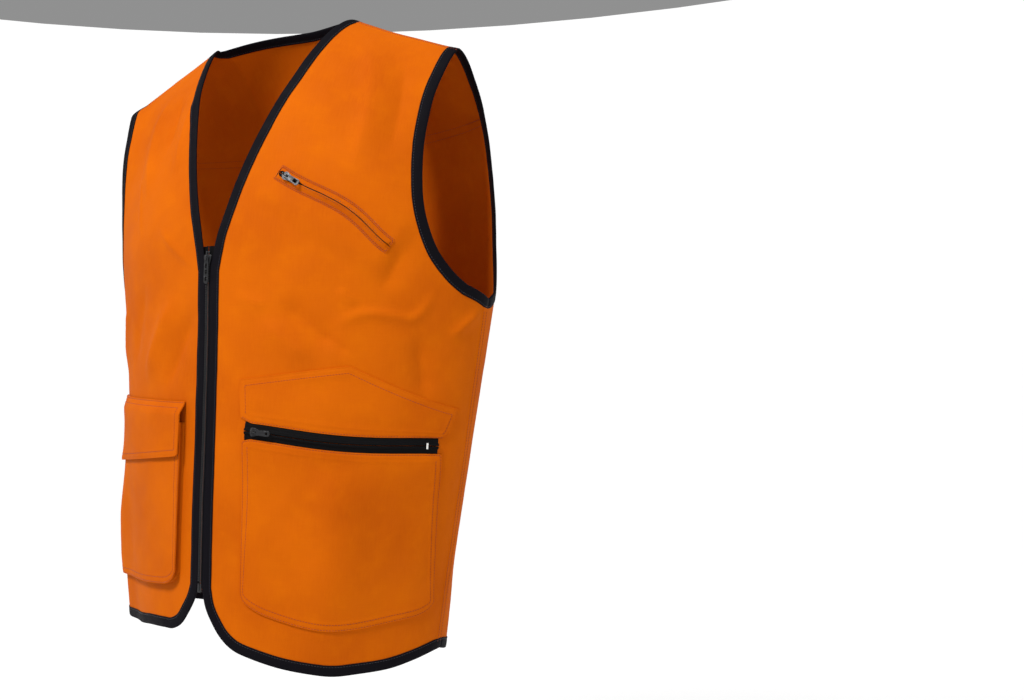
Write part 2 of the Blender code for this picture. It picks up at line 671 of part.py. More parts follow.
def build_curved_zip(prefix, path, tape_half, slider_at, pull_length, pull_half, windows, steps):
    """A zip on an arc: two tapes, two chain halves, a slider and its pull."""
    for side, word in ((1, "upper"), (-1, "lower")):
        near, far = sorted((side * CHAIN_INNER, side * CHAIN_OUTER))
        bar(f"{prefix}_chain_{word}", path, (0.0, path.length), (near, far), (-CHAIN_HALF, CHAIN_HALF),
            "zip_chain", steps)
        near, far = sorted((side * CHAIN_INNER, side * tape_half))
        bar(f"{prefix}_tape_{word}", path, (-0.0030, path.length + 0.0030), (near, far),
            (TAPE_BOTTOM, TAPE_TOP), "zip_tape", steps)
    slider(f"{prefix}_slider", path, slider_at, 0.0090, 0.0040)
    pull_tab(f"{prefix}_pull", path, slider_at + LUG_SHARE * 0.0090, pull_length, pull_half, windows)


def chest_path():
    return arc_on_body(CHEST_ZIP_ENDS, CURVED_ZIP_RISE, CHEST_TAPE_HALF + 0.0075)


def build_chest_pocket():
    """The slanted chest pocket: its zip, the two halves of its welt, and the bag behind the front."""
    path = chest_path()
    build_curved_zip("chest_zip", path, CHEST_TAPE_HALF, 0.0040, 0.0180, 0.0031, ((0.0112, 0.0158),), 14)
    rounds = 14
    base = TAPE_BOTTOM
    for side, word in ((1, "upper"), (-1, "lower")):
        near, far = sorted((side * (CHEST_TAPE_HALF + GAP), side * (CHEST_TAPE_HALF + 0.0072)))
        bar(f"chest_zip_welt_{word}", path, (-0.0060, path.length + 0.0060), (near, far),
            (base, base + 0.0012), "orange_cloth", rounds)
    (x0, z0), (x1, z1) = CHEST_ZIP_ENDS
    lower, inner_x, outer_x = -0.315, 0.076, 0.180
    rows, columns = 10, 9
    grid = np.zeros((rows, columns, 2))
    for i, share in enumerate(np.linspace(0, 1, rows)):
        for j, across in enumerate(np.linspace(0, 1, columns)):
            x = inner_x + (outer_x - inner_x) * across
            top = z0 + (z1 - z0) * (x - x0) / (x1 - x0) + 0.010
            grid[i, j] = uv_of(x, lower + (top - lower) * share)
    cloth("chest_pocket_bag", grid, middle=-0.0020, thickness=0.0008)


def pocket_path():
    return arc_on_body(POCKET_ZIP_ENDS, CURVED_ZIP_RISE, TAPE_HALF)


def build_left_pocket():
    """The zipped patch pocket: a pointed yoke patch above the zip, and the bag below it."""
    path = pocket_path()
    build_curved_zip("pocket_zip", path, TAPE_HALF, 0.0030, 0.0190, 0.0026, ((0.0066, 0.0092), (0.0120, 0.0165)), 14)
    columns = 14
    zip_s = path.length * np.linspace(0, 1, columns + 1)
    edge_gap = TAPE_HALF + 0.0006
    yoke_x = even_x(YOKE_X[0], YOKE_X[1], -0.42, columns)
    bag_x = even_x(BAG_TOP_X[0], BAG_TOP_X[1], -0.46, columns)
    upper = path.at(zip_s, edge_gap, 0.0)
    lower = path.at(zip_s, -edge_gap, 0.0)
    rows = 4
    grid = np.zeros((rows + 1, columns + 1, 2))
    for j, x in enumerate(yoke_x):
        top = float(np.interp(x, (YOKE_X[0], YOKE_PEAK[0], YOKE_X[1]), (YOKE_END_Z[0], YOKE_PEAK[1], YOKE_END_Z[1])))
        foot = float(np.interp(x, upper[:, 0], upper[:, 2]))
        for i in range(rows + 1):
            grid[i, j] = uv_of(x, foot + (top - foot) * i / rows)
    cloth("left_pocket_yoke", grid, middle=PATCH_LIFT)
    rows = 8
    grid = np.zeros((rows + 1, columns + 1, 2))
    for j, x_top in enumerate(bag_x):
        turn = (x_top - BAG_TOP_X[0]) / (BAG_TOP_X[1] - BAG_TOP_X[0])
        x_low = BAG_LOW_X[0] + (BAG_LOW_X[1] - BAG_LOW_X[0]) * turn
        foot = -0.6120 - 0.0130 * math.sin(math.pi * turn) ** 0.8
        corner = min(turn, 1 - turn) / 0.16
        if corner < 1:
            foot += 0.0200 * (1 - math.sqrt(1 - (1 - corner) ** 2))
        head = float(np.interp(x_top, lower[:, 0], lower[:, 2]))
        for i in range(rows + 1):
            down = i / rows
            grid[i, j] = uv_of(x_top + (x_low - x_top) * down, head + (foot - head) * down)
    cloth("left_pocket_bag", grid, middle=PATCH_LIFT)
    tack = path.length - 0.0090
    bar("pocket_zip_bartack", path, (tack, tack + 0.0024), (-0.0030, 0.0030),
        (CHAIN_HALF + 0.0003, CHAIN_HALF + 0.0012), "white_thread")


def cargo_outline(turn):
    """x at the top and the bottom of the cargo bag, and its bottom height, at a share of its width."""
    x = CARGO_INNER_X + (CARGO_OUTER_X - CARGO_INNER_X) * turn
    x_low = CARGO_INNER_X + 0.001 + (CARGO_OUTER_X - 0.006 - CARGO_INNER_X) * turn
    foot = CARGO_BOTTOM_Z - 0.0150 * turn
    corner = min(turn, 1 - turn) / 0.09
    if corner < 1:
        foot += 0.0150 * (1 - corner)
    return x, x_low, foot


def build_cargo_pocket():
    """The bellows pocket: its face, the gusset that holds it off the front, and the strips of its closure."""
    columns, rows = 16, 7
    grid = np.zeros((rows + 1, columns + 1, 2))
    for j, x in enumerate(even_x(CARGO_INNER_X, CARGO_OUTER_X, -0.51, columns)):
        x_top, x_low, foot = cargo_outline((x - CARGO_INNER_X) / (CARGO_OUTER_X - CARGO_INNER_X))
        for i in range(rows + 1):
            down = i / rows
            grid[i, j] = uv_of(x_top + (x_low - x_top) * down, CARGO_TOP_Z + (foot - CARGO_TOP_Z) * down)
    face = mirrored(grid)
    cloth("cargo_pocket_face", face, middle=CARGO_DEPTH)
    rim = np.vstack([face[:, 0], face[-1, 1:-1], face[::-1, -1]])
    low = CLOTH / 2 + GAP
    high = CARGO_DEPTH - CLOTH / 2 - GAP
    thick_sheet("cargo_pocket_gusset", np.stack([lifted(rim, low), lifted(rim, high)]), CLOTH, "orange_cloth")
    pads = ((0.075, 0.110), (0.130, 0.165))
    for word, (x0, x1) in zip(("inner", "outer"), pads):
        patch = np.zeros((3, 7, 2))
        for i, z in enumerate(np.linspace(-0.4640, -0.4500, 3)):
            for j, x in enumerate(np.linspace(x0, x1, 7)):
                patch[i, j] = uv_of(x, z)
        cloth(f"cargo_closure_{word}", mirrored(patch), "touch_closure",
              middle=CARGO_DEPTH + CLOTH / 2 + GAP + 0.0004, thickness=0.0008)
    columns, rows = 16, 8
    grid = np.zeros((rows + 1, columns + 1, 2))
    height = np.zeros((rows + 1, columns + 1))
    for j, x in enumerate(even_x(*FLAP_SPAN_X, FLAP_TOP_Z, columns)):
        turn = (x - CARGO_INNER_X) / (CARGO_OUTER_X - CARGO_INNER_X)
        foot = -0.4600 - 0.0220 * turn
        for i in range(rows + 1):
            down = (i / rows) ** 1.3
            grid[i, j] = uv_of(x, FLAP_TOP_Z + (foot - FLAP_TOP_Z) * down)
            fall = FLAP_TOP_Z - (FLAP_TOP_Z + (foot - FLAP_TOP_Z) * down)
            ease = min(fall / 0.0150, 1.0)
            height[i, j] = FLAP_ROOT + (FLAP_LIFT - FLAP_ROOT) * ease * ease * (3 - 2 * ease)
    flap = mirrored(grid)
    thick_sheet("cargo_pocket_flap", lifted(flap, height), CLOTH, "orange_cloth")


FLAP_SPAN_X = (CARGO_INNER_X - 0.0015, CARGO_OUTER_X + 0.0015)
FLAP_ROOT = 0.0020  # the flap's middle over the front at its top edge


def flap_hinge():
    """A point on the flap's hinge: level with its top edge, just clear of where the edge stands out furthest."""
    x = even_x(*FLAP_SPAN_X, FLAP_TOP_Z, 16)
    edge = lifted(mirrored(uv_of(x, np.full(len(x), FLAP_TOP_Z))), FLAP_ROOT)
    chord = edge[-1] - edge[0]
    chord[2] = 0.0
    chord /= np.linalg.norm(chord)
    out = np.cross(chord, (0.0, 0.0, 1.0))
    out *= -np.sign(out[1])
    reach = float(((edge - edge[0]) @ out).max()) + 0.0012
    middle = 0.5 * (edge[0] + edge[-1]) + out * reach
    return (middle[0], middle[1], FLAP_TOP_Z)


def make_materials():
    made = {}
    for name, colour in MATERIALS.items():
        material = bpy.data.materials.new(name)
        material.use_nodes = True
        shader = material.node_tree.nodes["Principled BSDF"]
        shader.inputs["Base Color"].default_value = (*colour, 1.0)
        shader.inputs["Roughness"].default_value = 0.45 if name == "slider_metal" else 0.85
        made[name] = material
    return made


def joint_empty(name, position, parts):
    """An empty on a joint's axis, with the pieces that move together under it."""
    empty = add_object(name, None)
    empty.location = position
    bpy.context.view_layer.update()
    for part in parts:
        made = bpy.data.objects[part]
        made.parent = empty
        made.matrix_parent_inverse = empty.matrix_world.inverted()


def names_starting(*starts):
    return [made.name for made in collections["vest"].objects if made.name.startswith(starts)]


def group_parts():
    """Puts each moving group under an empty on its hinge. The sliders of the curved zips turn about the centre of
    their zip's arc, and each pull's own origin is on its hinge."""
    sliders = ("front_zip_slider", "chest_zip_slider", "pocket_zip_slider", "front_zip_pull", "chest_zip_pull",
               "pocket_zip_pull")
    left = names_starting("left_front", "left_armhole_binding_front", "front_zip_tape_left", "front_zip_chain_left",
                          "front_zip_pin", "front_zip_top_stop_left", "chest_", "left_pocket", "pocket_zip")
    right = names_starting("right_front", "right_armhole_binding_front", "front_zip_tape_right",
                           "front_zip_chain_right", "front_zip_box", "front_zip_top_stop_right", "cargo_pocket_face",
                           "cargo_pocket_gusset", "cargo_closure")
    hinge_x = CHEST_HALF_WIDTH + BINDING_THICK / 2
    joint_empty("front_left_hinge", (hinge_x, UNDERARM_Y, UNDERARM_Z), [n for n in left if n not in sliders])
    joint_empty("front_right_hinge", (-hinge_x, UNDERARM_Y, UNDERARM_Z), right)
    joint_empty("front_zip_slide", front_path().start, ["front_zip_slider", "front_zip_pull"])
    joint_empty("chest_zip_centre", chest_path().centre, ["chest_zip_slider", "chest_zip_pull"])
    joint_empty("pocket_zip_centre", pocket_path().centre, ["pocket_zip_slider", "pocket_zip_pull"])
    joint_empty("cargo_flap_hinge", flap_hinge(), ["cargo_pocket_flap"])


clear_scene()
collections = make_collections()
materials = make_materials()
build_fronts()
build_back()
build_front_zip()
build_chest_pocket()
build_left_pocket()
build_cargo_pocket()
group_parts()
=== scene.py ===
"""Looks of a sleeveless zip-front utility vest in orange twill with black bound edges.

Every cloth piece is a sheet with two faces, laid over the body surface that the CAD pieces follow. A point on
that surface is given by an angle round the body and a height parameter, and relief() says how far folds,
seams and the zips underneath move the cloth off it. All sizes are metres in the row frame: the front faces
-Y, +X is the wearer's left, and the origin lies midway between the two neck points.
"""

import math

import bmesh
import bpy
import numpy as np
from mathutils import Matrix, Vector


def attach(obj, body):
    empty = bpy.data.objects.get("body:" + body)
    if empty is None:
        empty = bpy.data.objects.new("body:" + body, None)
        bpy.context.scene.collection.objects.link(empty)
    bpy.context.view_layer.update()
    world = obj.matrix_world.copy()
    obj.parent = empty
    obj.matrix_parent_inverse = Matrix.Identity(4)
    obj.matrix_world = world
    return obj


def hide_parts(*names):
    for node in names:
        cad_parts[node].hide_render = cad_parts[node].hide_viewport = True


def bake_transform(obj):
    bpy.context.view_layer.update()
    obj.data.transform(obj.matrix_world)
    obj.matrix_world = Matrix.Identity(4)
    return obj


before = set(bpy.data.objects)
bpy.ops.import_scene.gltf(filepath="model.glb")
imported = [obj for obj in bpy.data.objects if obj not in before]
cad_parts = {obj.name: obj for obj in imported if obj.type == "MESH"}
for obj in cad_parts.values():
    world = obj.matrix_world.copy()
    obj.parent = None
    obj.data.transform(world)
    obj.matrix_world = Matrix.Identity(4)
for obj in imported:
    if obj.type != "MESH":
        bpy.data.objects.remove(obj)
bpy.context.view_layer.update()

# ---------------------------------------------------------------- body surface, as the CAD builds it
NECK_X = 0.0948
TIP_X = 0.2206
TIP_Z = -0.045
NAPE_RISE = 0.050
NAPE_CURVE = 2.2
NECK_RISE = 0.007  # the worn cloth stands up at the neck
CHEST_Z = -0.240
UNDERARM_Z = -0.297
SIDE_HEM_Z = -0.655
CHEST_HALF_WIDTH = 0.2425
HEM_HALF_WIDTH = 0.1954
UNDERARM_Y = 0.016
SIDE_HEM_Y = -0.001
SHOULDER_Y = -0.004
FRONT_Y = ((-0.700, -0.15443), (-0.450, -0.14398), (-0.300, -0.13771), (-0.262, -0.13613), (-0.150, -0.1330),
           (0.050, -0.1300))
BACK_Y = ((-0.700, 0.0990), (-0.600, 0.1060), (-0.420, 0.1210), (-0.295, 0.1370), (-0.180, 0.1420),
          (0.060, 0.1380))
FRONT_KEEL = 0.11  # the front is a little flatter than an ellipse: it falls away from a soft keel at the zip,
FRONT_FLAT = 0.20  # and again towards the side
FRONT_FALL = 0.45  # above the chest the front leans back more than the back leans forward
KEEL_ROUND = 0.10
SHOULDER_ROUND = 1.8
ZIP_EDGE_X = 0.0026
V_EDGE = ((ZIP_EDGE_X, -0.266), (0.0060, -0.250), (0.0110, -0.228), (0.0185, -0.203), (0.0280, -0.170),
          (0.0370, -0.141),
          (0.0465, -0.112), (0.0560, -0.084), (0.0640, -0.062), (0.0710, -0.040), (0.0790, -0.016))
FRONT_HEM = ((ZIP_EDGE_X, -0.592), (0.0070, -0.611), (0.0155, -0.6265), (0.0265, -0.6405), (0.0405, -0.6510),
             (0.0590, -0.6575), (0.0850, -0.6645), (0.1080, -0.6690), (0.1300, -0.6720), (0.1500, -0.6700),
             (0.1700, -0.6670), (0.1850, -0.6610))
RIGHT_HEM = ((ZIP_EDGE_X, -0.592), (0.0075, -0.6060), (0.0174, -0.6220), (0.0279, -0.6345), (0.0422, -0.6418),
             (0.0590, -0.6440), (0.0905, -0.6485), (0.1300, -0.6570), (0.1700, -0.6630), (0.1860, -0.6600))
FRONT_ARMHOLE = ((0.2345, -0.2840), (0.2260, -0.2710), (0.2165, -0.2510), (0.2101, -0.2275),
                 (0.2058, -0.2028),
                 (0.2038, -0.1729), (0.2034, -0.1424), (0.2050, -0.1150), (0.2073, -0.0930),
                 (0.2120, -0.0710))
BACK_ARMHOLE = ((0.2380, -0.2850), (0.2355, -0.2640), (0.2335, -0.2360), (0.2325, -0.2000), (0.2320, -0.1620),
                (0.2310, -0.1270), (0.2285, -0.0960), (0.2240, -0.0700))
BACK_HEM_DROP = 0.022
NAPE_Z = 0.0262
YOKE_SEAM_Z = -0.102
QUARTER = math.pi / 2

# Zips, as the CAD places them: the sliders run on these paths.
ZIP_TOP_Z = -0.250
ZIP_BOTTOM_Z = -0.588
CHEST_ZIP_ENDS = ((0.0775, -0.1722), (0.1775, -0.2455))
POCKET_ZIP_ENDS = ((0.0530, -0.4305), (0.2070, -0.4445))
CURVED_ZIP_RISE = 0.0040
TAPE_HALF = 0.0078
CHEST_TAPE_HALF = 0.0052

# Cargo pocket on the wearer's right, as positive x.
CARGO_INNER_X = 0.0300
CARGO_OUTER_X = 0.2000
CARGO_TOP_Z = -0.425
FLAP_TOP_Z = -0.403
FLAP_ROOT = 0.0020

# Cloth and tape.
CLOTH = 0.0006
CELL = 0.0030


def hermite(table, z):
    """A smooth curve through the (z, value) pairs of the table."""
    knots = np.array(table, float)
    slopes_here = np.gradient(knots[:, 1], knots[:, 0])
    z = np.clip(np.asarray(z, float), knots[0, 0], knots[-1, 0])
    i = np.clip(np.searchsorted(knots[:, 0], z) - 1, 0, len(knots) - 2)
    span = knots[i + 1, 0] - knots[i, 0]
    t = (z - knots[i, 0]) / span
    h = 2 * t**3 - 3 * t**2 + 1
    g = t**3 - 2 * t**2 + t
    k = t**3 - t**2
    return h * knots[i, 1] + (1 - h) * knots[i + 1, 1] + span * (g * slopes_here[i] + k * slopes_here[i + 1])


def smooth(t):
    t = np.clip(t, 0, 1)
    return t * t * (3 - 2 * t)


def side_line(z, at_underarm, at_hem):
    """A value that runs straight along the side seam, and goes on in that line."""
    return at_underarm + (at_underarm - at_hem) * (z - UNDERARM_Z) / (UNDERARM_Z - SIDE_HEM_Z)


def half_width(z):
    """Half the width of a level section: straight down the side seam, and constant above the chest."""
    slope = (CHEST_HALF_WIDTH - HEM_HALF_WIDTH) / (UNDERARM_Z - SIDE_HEM_Z)
    ease = CHEST_Z - UNDERARM_Z
    h = np.clip(z - UNDERARM_Z, 0, ease)
    below = side_line(np.minimum(z, UNDERARM_Z), CHEST_HALF_WIDTH, HEM_HALF_WIDTH)
    return below + slope * (h - h**2 / (2 * ease))


TOP_HALF_WIDTH = float(half_width(np.array(CHEST_Z)))


def side_y(z):
    """Where a section's widest point lies, front to back."""
    below = side_line(np.minimum(z, UNDERARM_Z), UNDERARM_Y, SIDE_HEM_Y)
    return below + (SHOULDER_Y - UNDERARM_Y) * smooth((z - UNDERARM_Z) / (TIP_Z - UNDERARM_Z))


def profile():
    """(w, q, m): the curve over the shoulder, by equal steps of its length w, and that length."""
    angle = np.linspace(0, QUARTER, 2001)
    q = np.sin(angle) ** (2 / SHOULDER_ROUND)
    m = np.cos(angle) ** (2 / SHOULDER_ROUND)
    length = np.concatenate([[0], np.cumsum(np.hypot(0.22 * np.diff(q), 0.11 * np.diff(m)))])
    return length / length[-1], q, m, length[-1]


PROFILE_W, PROFILE_Q, PROFILE_M, RISE = profile()


def ridge_z(x, back, neck_rise=NECK_RISE):
    """Height of the shoulder line. At the back it climbs from the neck points to the nape."""
    x = np.abs(x)
    along = (x - NECK_X) / (TIP_X - NECK_X)
    line = TIP_Z * along + neck_rise * np.clip(1 - along, 0, 1.2) ** 2
    nape = neck_rise + NAPE_RISE * (1 - np.clip(x / NECK_X, 0, 1) ** NAPE_CURVE)
    return np.where(back & (x < NECK_X), nape, line)


def on_body(uv, neck_rise=NECK_RISE):
    """Points of the body surface. uv holds the angle round the body, 0 at centre front, a quarter turn at the
    wearer's left side and a half turn at centre back, and w, which is 0 at the chest
    and 1 on the shoulder."""
    uv = np.asarray(uv, float)
    angle, w = uv[..., 0], np.minimum(uv[..., 1], 1.0)
    upper = w > 0
    back = np.cos(angle) < 0
    q = np.interp(w, PROFILE_W, PROFILE_Q)
    m = np.where(upper, np.interp(w, PROFILE_W, PROFILE_M), 1.0)
    x_top = TOP_HALF_WIDTH * np.sin(angle)
    z = np.where(upper, CHEST_Z + q * (ridge_z(x_top, back, neck_rise) - CHEST_Z), CHEST_Z + w * RISE)
    x = half_width(z) * np.sin(angle)
    middle = side_y(z)
    side = np.abs(np.sin(angle))
    keel = FRONT_KEEL * (np.hypot(side, KEEL_ROUND) - KEEL_ROUND)
    shape = np.where(back, 1.0, 1.0 - keel - FRONT_FLAT * side**4)
    reach = np.where(back, (hermite(BACK_Y, z) - middle) * m,
                     (middle - hermite(FRONT_Y, z)) * m * (1 - FRONT_FALL * (1 - m)))
    return np.stack([x, middle - np.cos(angle) * shape * reach, z], axis=-1)


def uv_of(x, z, back=False, neck_rise=NECK_RISE):
    """The surface parameters of the point at (x, z) on the front or the back, for x of either sign."""
    x, z = np.asarray(x, float), np.asarray(z, float)
    low = (z - CHEST_Z) / RISE
    q = np.clip((z - CHEST_Z) / (ridge_z(x, back, neck_rise) - CHEST_Z), 0, 1)
    w = np.where(z < CHEST_Z, low, np.interp(q, PROFILE_Q, PROFILE_W))
    width = np.where(z < CHEST_Z, half_width(z), TOP_HALF_WIDTH)
    angle = np.arcsin(np.clip(x / width, -1, 1))
    return np.stack([math.pi - angle if back else angle, w], axis=-1)


def slopes(uv):
    """The surface's two derivatives, taken inwards at the shoulder line."""
    uv = np.array(uv, float)
    uv[..., 1] = np.minimum(uv[..., 1], 1.0)
    step = 1e-4
    turn = np.array([step, 0.0])
    lift = np.array([0.0, step])
    along = (on_body(uv + turn) - on_body(uv - turn)) / (2 * step)
    room = np.minimum(1.0 - uv[..., 1:2], step)
    up = (on_body(uv + lift * room / step) - on_body(uv - lift)) / (room + step)
    return along, up


def outward(uv):
    along, up = slopes(uv)
    normal = np.cross(along, up)
    return normal / np.linalg.norm(normal, axis=-1, keepdims=True)


def inset(edge, width, side):
    """The edge moved over the surface by width. side is +1 to move to the left of its
    direction, seen from outside."""
    moved = np.array(edge, float)
    steps = 4
    for _ in range(steps):
        points = on_body(moved)
        run = np.gradient(points, axis=0)
        run /= np.linalg.norm(run, axis=-1, keepdims=True)
        aim = side * np.cross(outward(moved), run) * width / steps
        along, up = slopes(moved)
        aa, ab, bb = (along * along).sum(-1), (along * up).sum(-1), (up * up).sum(-1)
        ra, rb = (along * aim).sum(-1), (up * aim).sum(-1)
        scale = aa * bb - ab * ab
        moved = moved + np.stack([(ra * bb - rb * ab) / scale, (rb * aa - ra * ab) / scale], axis=-1)
    return moved


def line_length(uv):
    return float(np.linalg.norm(np.diff(on_body(uv), axis=0), axis=1).sum())


def resample(uv, shares):
    """The same line at the given shares of its length."""
    uv = np.asarray(uv, float)
    lengths = np.linalg.norm(np.diff(on_body(uv), axis=0), axis=1)
    at = np.concatenate([[0], np.cumsum(lengths)])
    wanted = at[-1] * np.asarray(shares)
    return np.stack([np.interp(wanted, at, uv[:, 0]), np.interp(wanted, at, uv[:, 1])], axis=-1)


def even(uv, cell=CELL):
    """The same line with points about a cell apart."""
    return resample(uv, np.linspace(0, 1, max(2, round(line_length(uv) / cell)) + 1))


def spacing(length, cell, low_zone=0.0, high_zone=0.0, fine=0.0010):
    """Shares of a length: a cell apart, and closer together within a zone at either end."""
    low = np.arange(0, low_zone, fine)
    high = length - np.arange(0, high_zone, fine)[::-1]
    count = max(2, round((length - low_zone - high_zone) / cell))
    middle = np.linspace(low_zone, length - high_zone, count + 1)
    if high_zone:
        middle = middle[:-1]
    return np.concatenate([low, middle, high]) / length


def spline(points, per_span=12):
    """A smooth line through the points, as a Catmull-Rom curve."""
    p = np.asarray(points, float)
    p = np.vstack([2 * p[0] - p[1], p, 2 * p[-1] - p[-2]])
    out = []
    for i in range(1, len(p) - 2):
        for t in np.arange(per_span) / per_span:
            out.append(0.5 * (2 * p[i] + (p[i + 1] - p[i - 1]) * t
                              + (2 * p[i - 1] - 5 * p[i] + 4 * p[i + 1] - p[i + 2]) * t**2
                              + (3 * p[i] - p[i - 1] - 3 * p[i + 1] + p[i + 2]) * t**3))
    out.append(p[-2])
    return np.array(out)


def line_uv(points, back=False):
    points = np.asarray(points, float)
    return uv_of(points[:, 0], points[:, 1], back)


def coons(bottom, top, left, right, s, t):
    """A grid of surface parameters between four edges that meet at their ends, at shares s across and t
    upwards."""
    s = np.asarray(s)[None, :, None]
    t = np.asarray(t)[:, None, None]
    across = (1 - s) * left[:, None, :] + s * right[:, None, :]
    upward = (1 - t) * bottom[None, :, :] + t * top[None, :, :]
    corners = ((1 - s) * (1 - t) * bottom[0] + s * (1 - t) * bottom[-1]
               + (1 - s) * t * top[0] + s * t * top[-1])
    return across + upward - corners


def mirrored(uv):
    """The same line or grid on the wearer's right."""
    uv = np.array(uv, float)
    uv[..., 0] = -uv[..., 0]
    return uv


def sided(uv, side):
    return uv if side > 0 else mirrored(uv)


# ---------------------------------------------------------------- zip paths
class Straight:
    """A zip's path: s along it, h across it towards the side, r outwards."""

    def __init__(self, start, end, across, out):
        self.start = np.array(start, float)
        run = np.array(end, float) - self.start
        self.length = float(np.linalg.norm(run))
        self.run = run / self.length
        across = np.array(across, float)
        self.across = across - self.run * np.dot(across, self.run)
        self.across /= np.linalg.norm(self.across)
        self.out = np.cross(self.run, self.across)
        if np.dot(self.out, out) < 0:
            self.out = -self.out

    def at(self, s, h, r):
        s, h, r = (np.asarray(v, float)[..., None] for v in np.broadcast_arrays(s, h, r))
        return self.start + s * self.run + h * self.across + r * self.out


class Arc:
    """A zip's path on a circle through three points: s along it, h across it, r outwards from its centre."""

    def __init__(self, first, second, third):
        a, b, c = (np.array(p, float) for p in (first, second, third))
        ab, ac = b - a, c - a
        axis = np.cross(ab, ac)
        across = np.cross(axis, ab) * (ac @ ac) + np.cross(ac, axis) * (ab @ ab)
        self.centre = a + across / (2 * (axis @ axis))
        self.axis = axis / np.linalg.norm(axis)
        self.radius = float(np.linalg.norm(a - self.centre))
        self.first = (a - self.centre) / self.radius
        self.second = np.cross(self.axis, self.first)
        end = c - self.centre
        self.angle = float(np.arctan2(end @ self.second, end @ self.first))
        self.length = self.radius * self.angle

    def at(self, s, h, r):
        s, h, r = (np.asarray(v, float)[..., None] for v in np.broadcast_arrays(s, h, r))
        turn = s / self.radius
        spoke = np.cos(turn) * self.first + np.sin(turn) * self.second
        return self.centre + (self.radius + r) * spoke + h * self.axis

    def place_of(self, points):
        """(s, h, r) of points near the path."""
        rel = points - self.centre
        h = rel @ self.axis
        a, b = rel @ self.first, rel @ self.second
        return np.arctan2(b, a) * self.radius, h, np.hypot(a, b) - self.radius


def arc_on_body(ends, rise, half):
    """A circular path near the straight line between two (x, z) points, in the plane that best follows the
    surface's normals there. No cloth within half of it on either side comes closer than rise."""
    (x0, z0), (x1, z1) = ends
    shares = np.linspace(0, 1, 41)
    line = uv_of(x0 + (x1 - x0) * shares, z0 + (z1 - z0) * shares, neck_rise=0.0)
    points = on_body(line, 0.0)
    chord = points[-1] - points[0]
    chord /= np.linalg.norm(chord)
    normal = outward(line).mean(axis=0)
    normal -= chord * (normal @ chord)
    normal /= np.linalg.norm(normal)
    middle = 0.5 * (points[0] + points[-1])
    bulge = middle + normal * float(((points - middle) @ normal).max())
    offsets = np.linspace(-half, half, 9)
    side = np.cross(normal, chord)
    nearby = np.concatenate([points + side * h for h in offsets])
    nearby = on_body(uv_of(nearby[:, 0], nearby[:, 2], neck_rise=0.0), 0.0)
    height = rise
    for _ in range(4):
        path = Arc(points[0] + normal * height, bulge + normal * height, points[-1] + normal * height)
        spokes = nearby - path.centre
        spokes -= np.outer(spokes @ path.axis, path.axis)
        height += rise - float((path.radius - np.linalg.norm(spokes, axis=1)).min())
    return path


front_zip = Straight(on_body(uv_of(0.0, ZIP_TOP_Z)), on_body(uv_of(0.0, ZIP_BOTTOM_Z)), (1, 0, 0), (0, -1, 0))
chest_zip = arc_on_body(CHEST_ZIP_ENDS, CURVED_ZIP_RISE, CHEST_TAPE_HALF + 0.0075)
pocket_zip = arc_on_body(POCKET_ZIP_ENDS, CURVED_ZIP_RISE, TAPE_HALF)

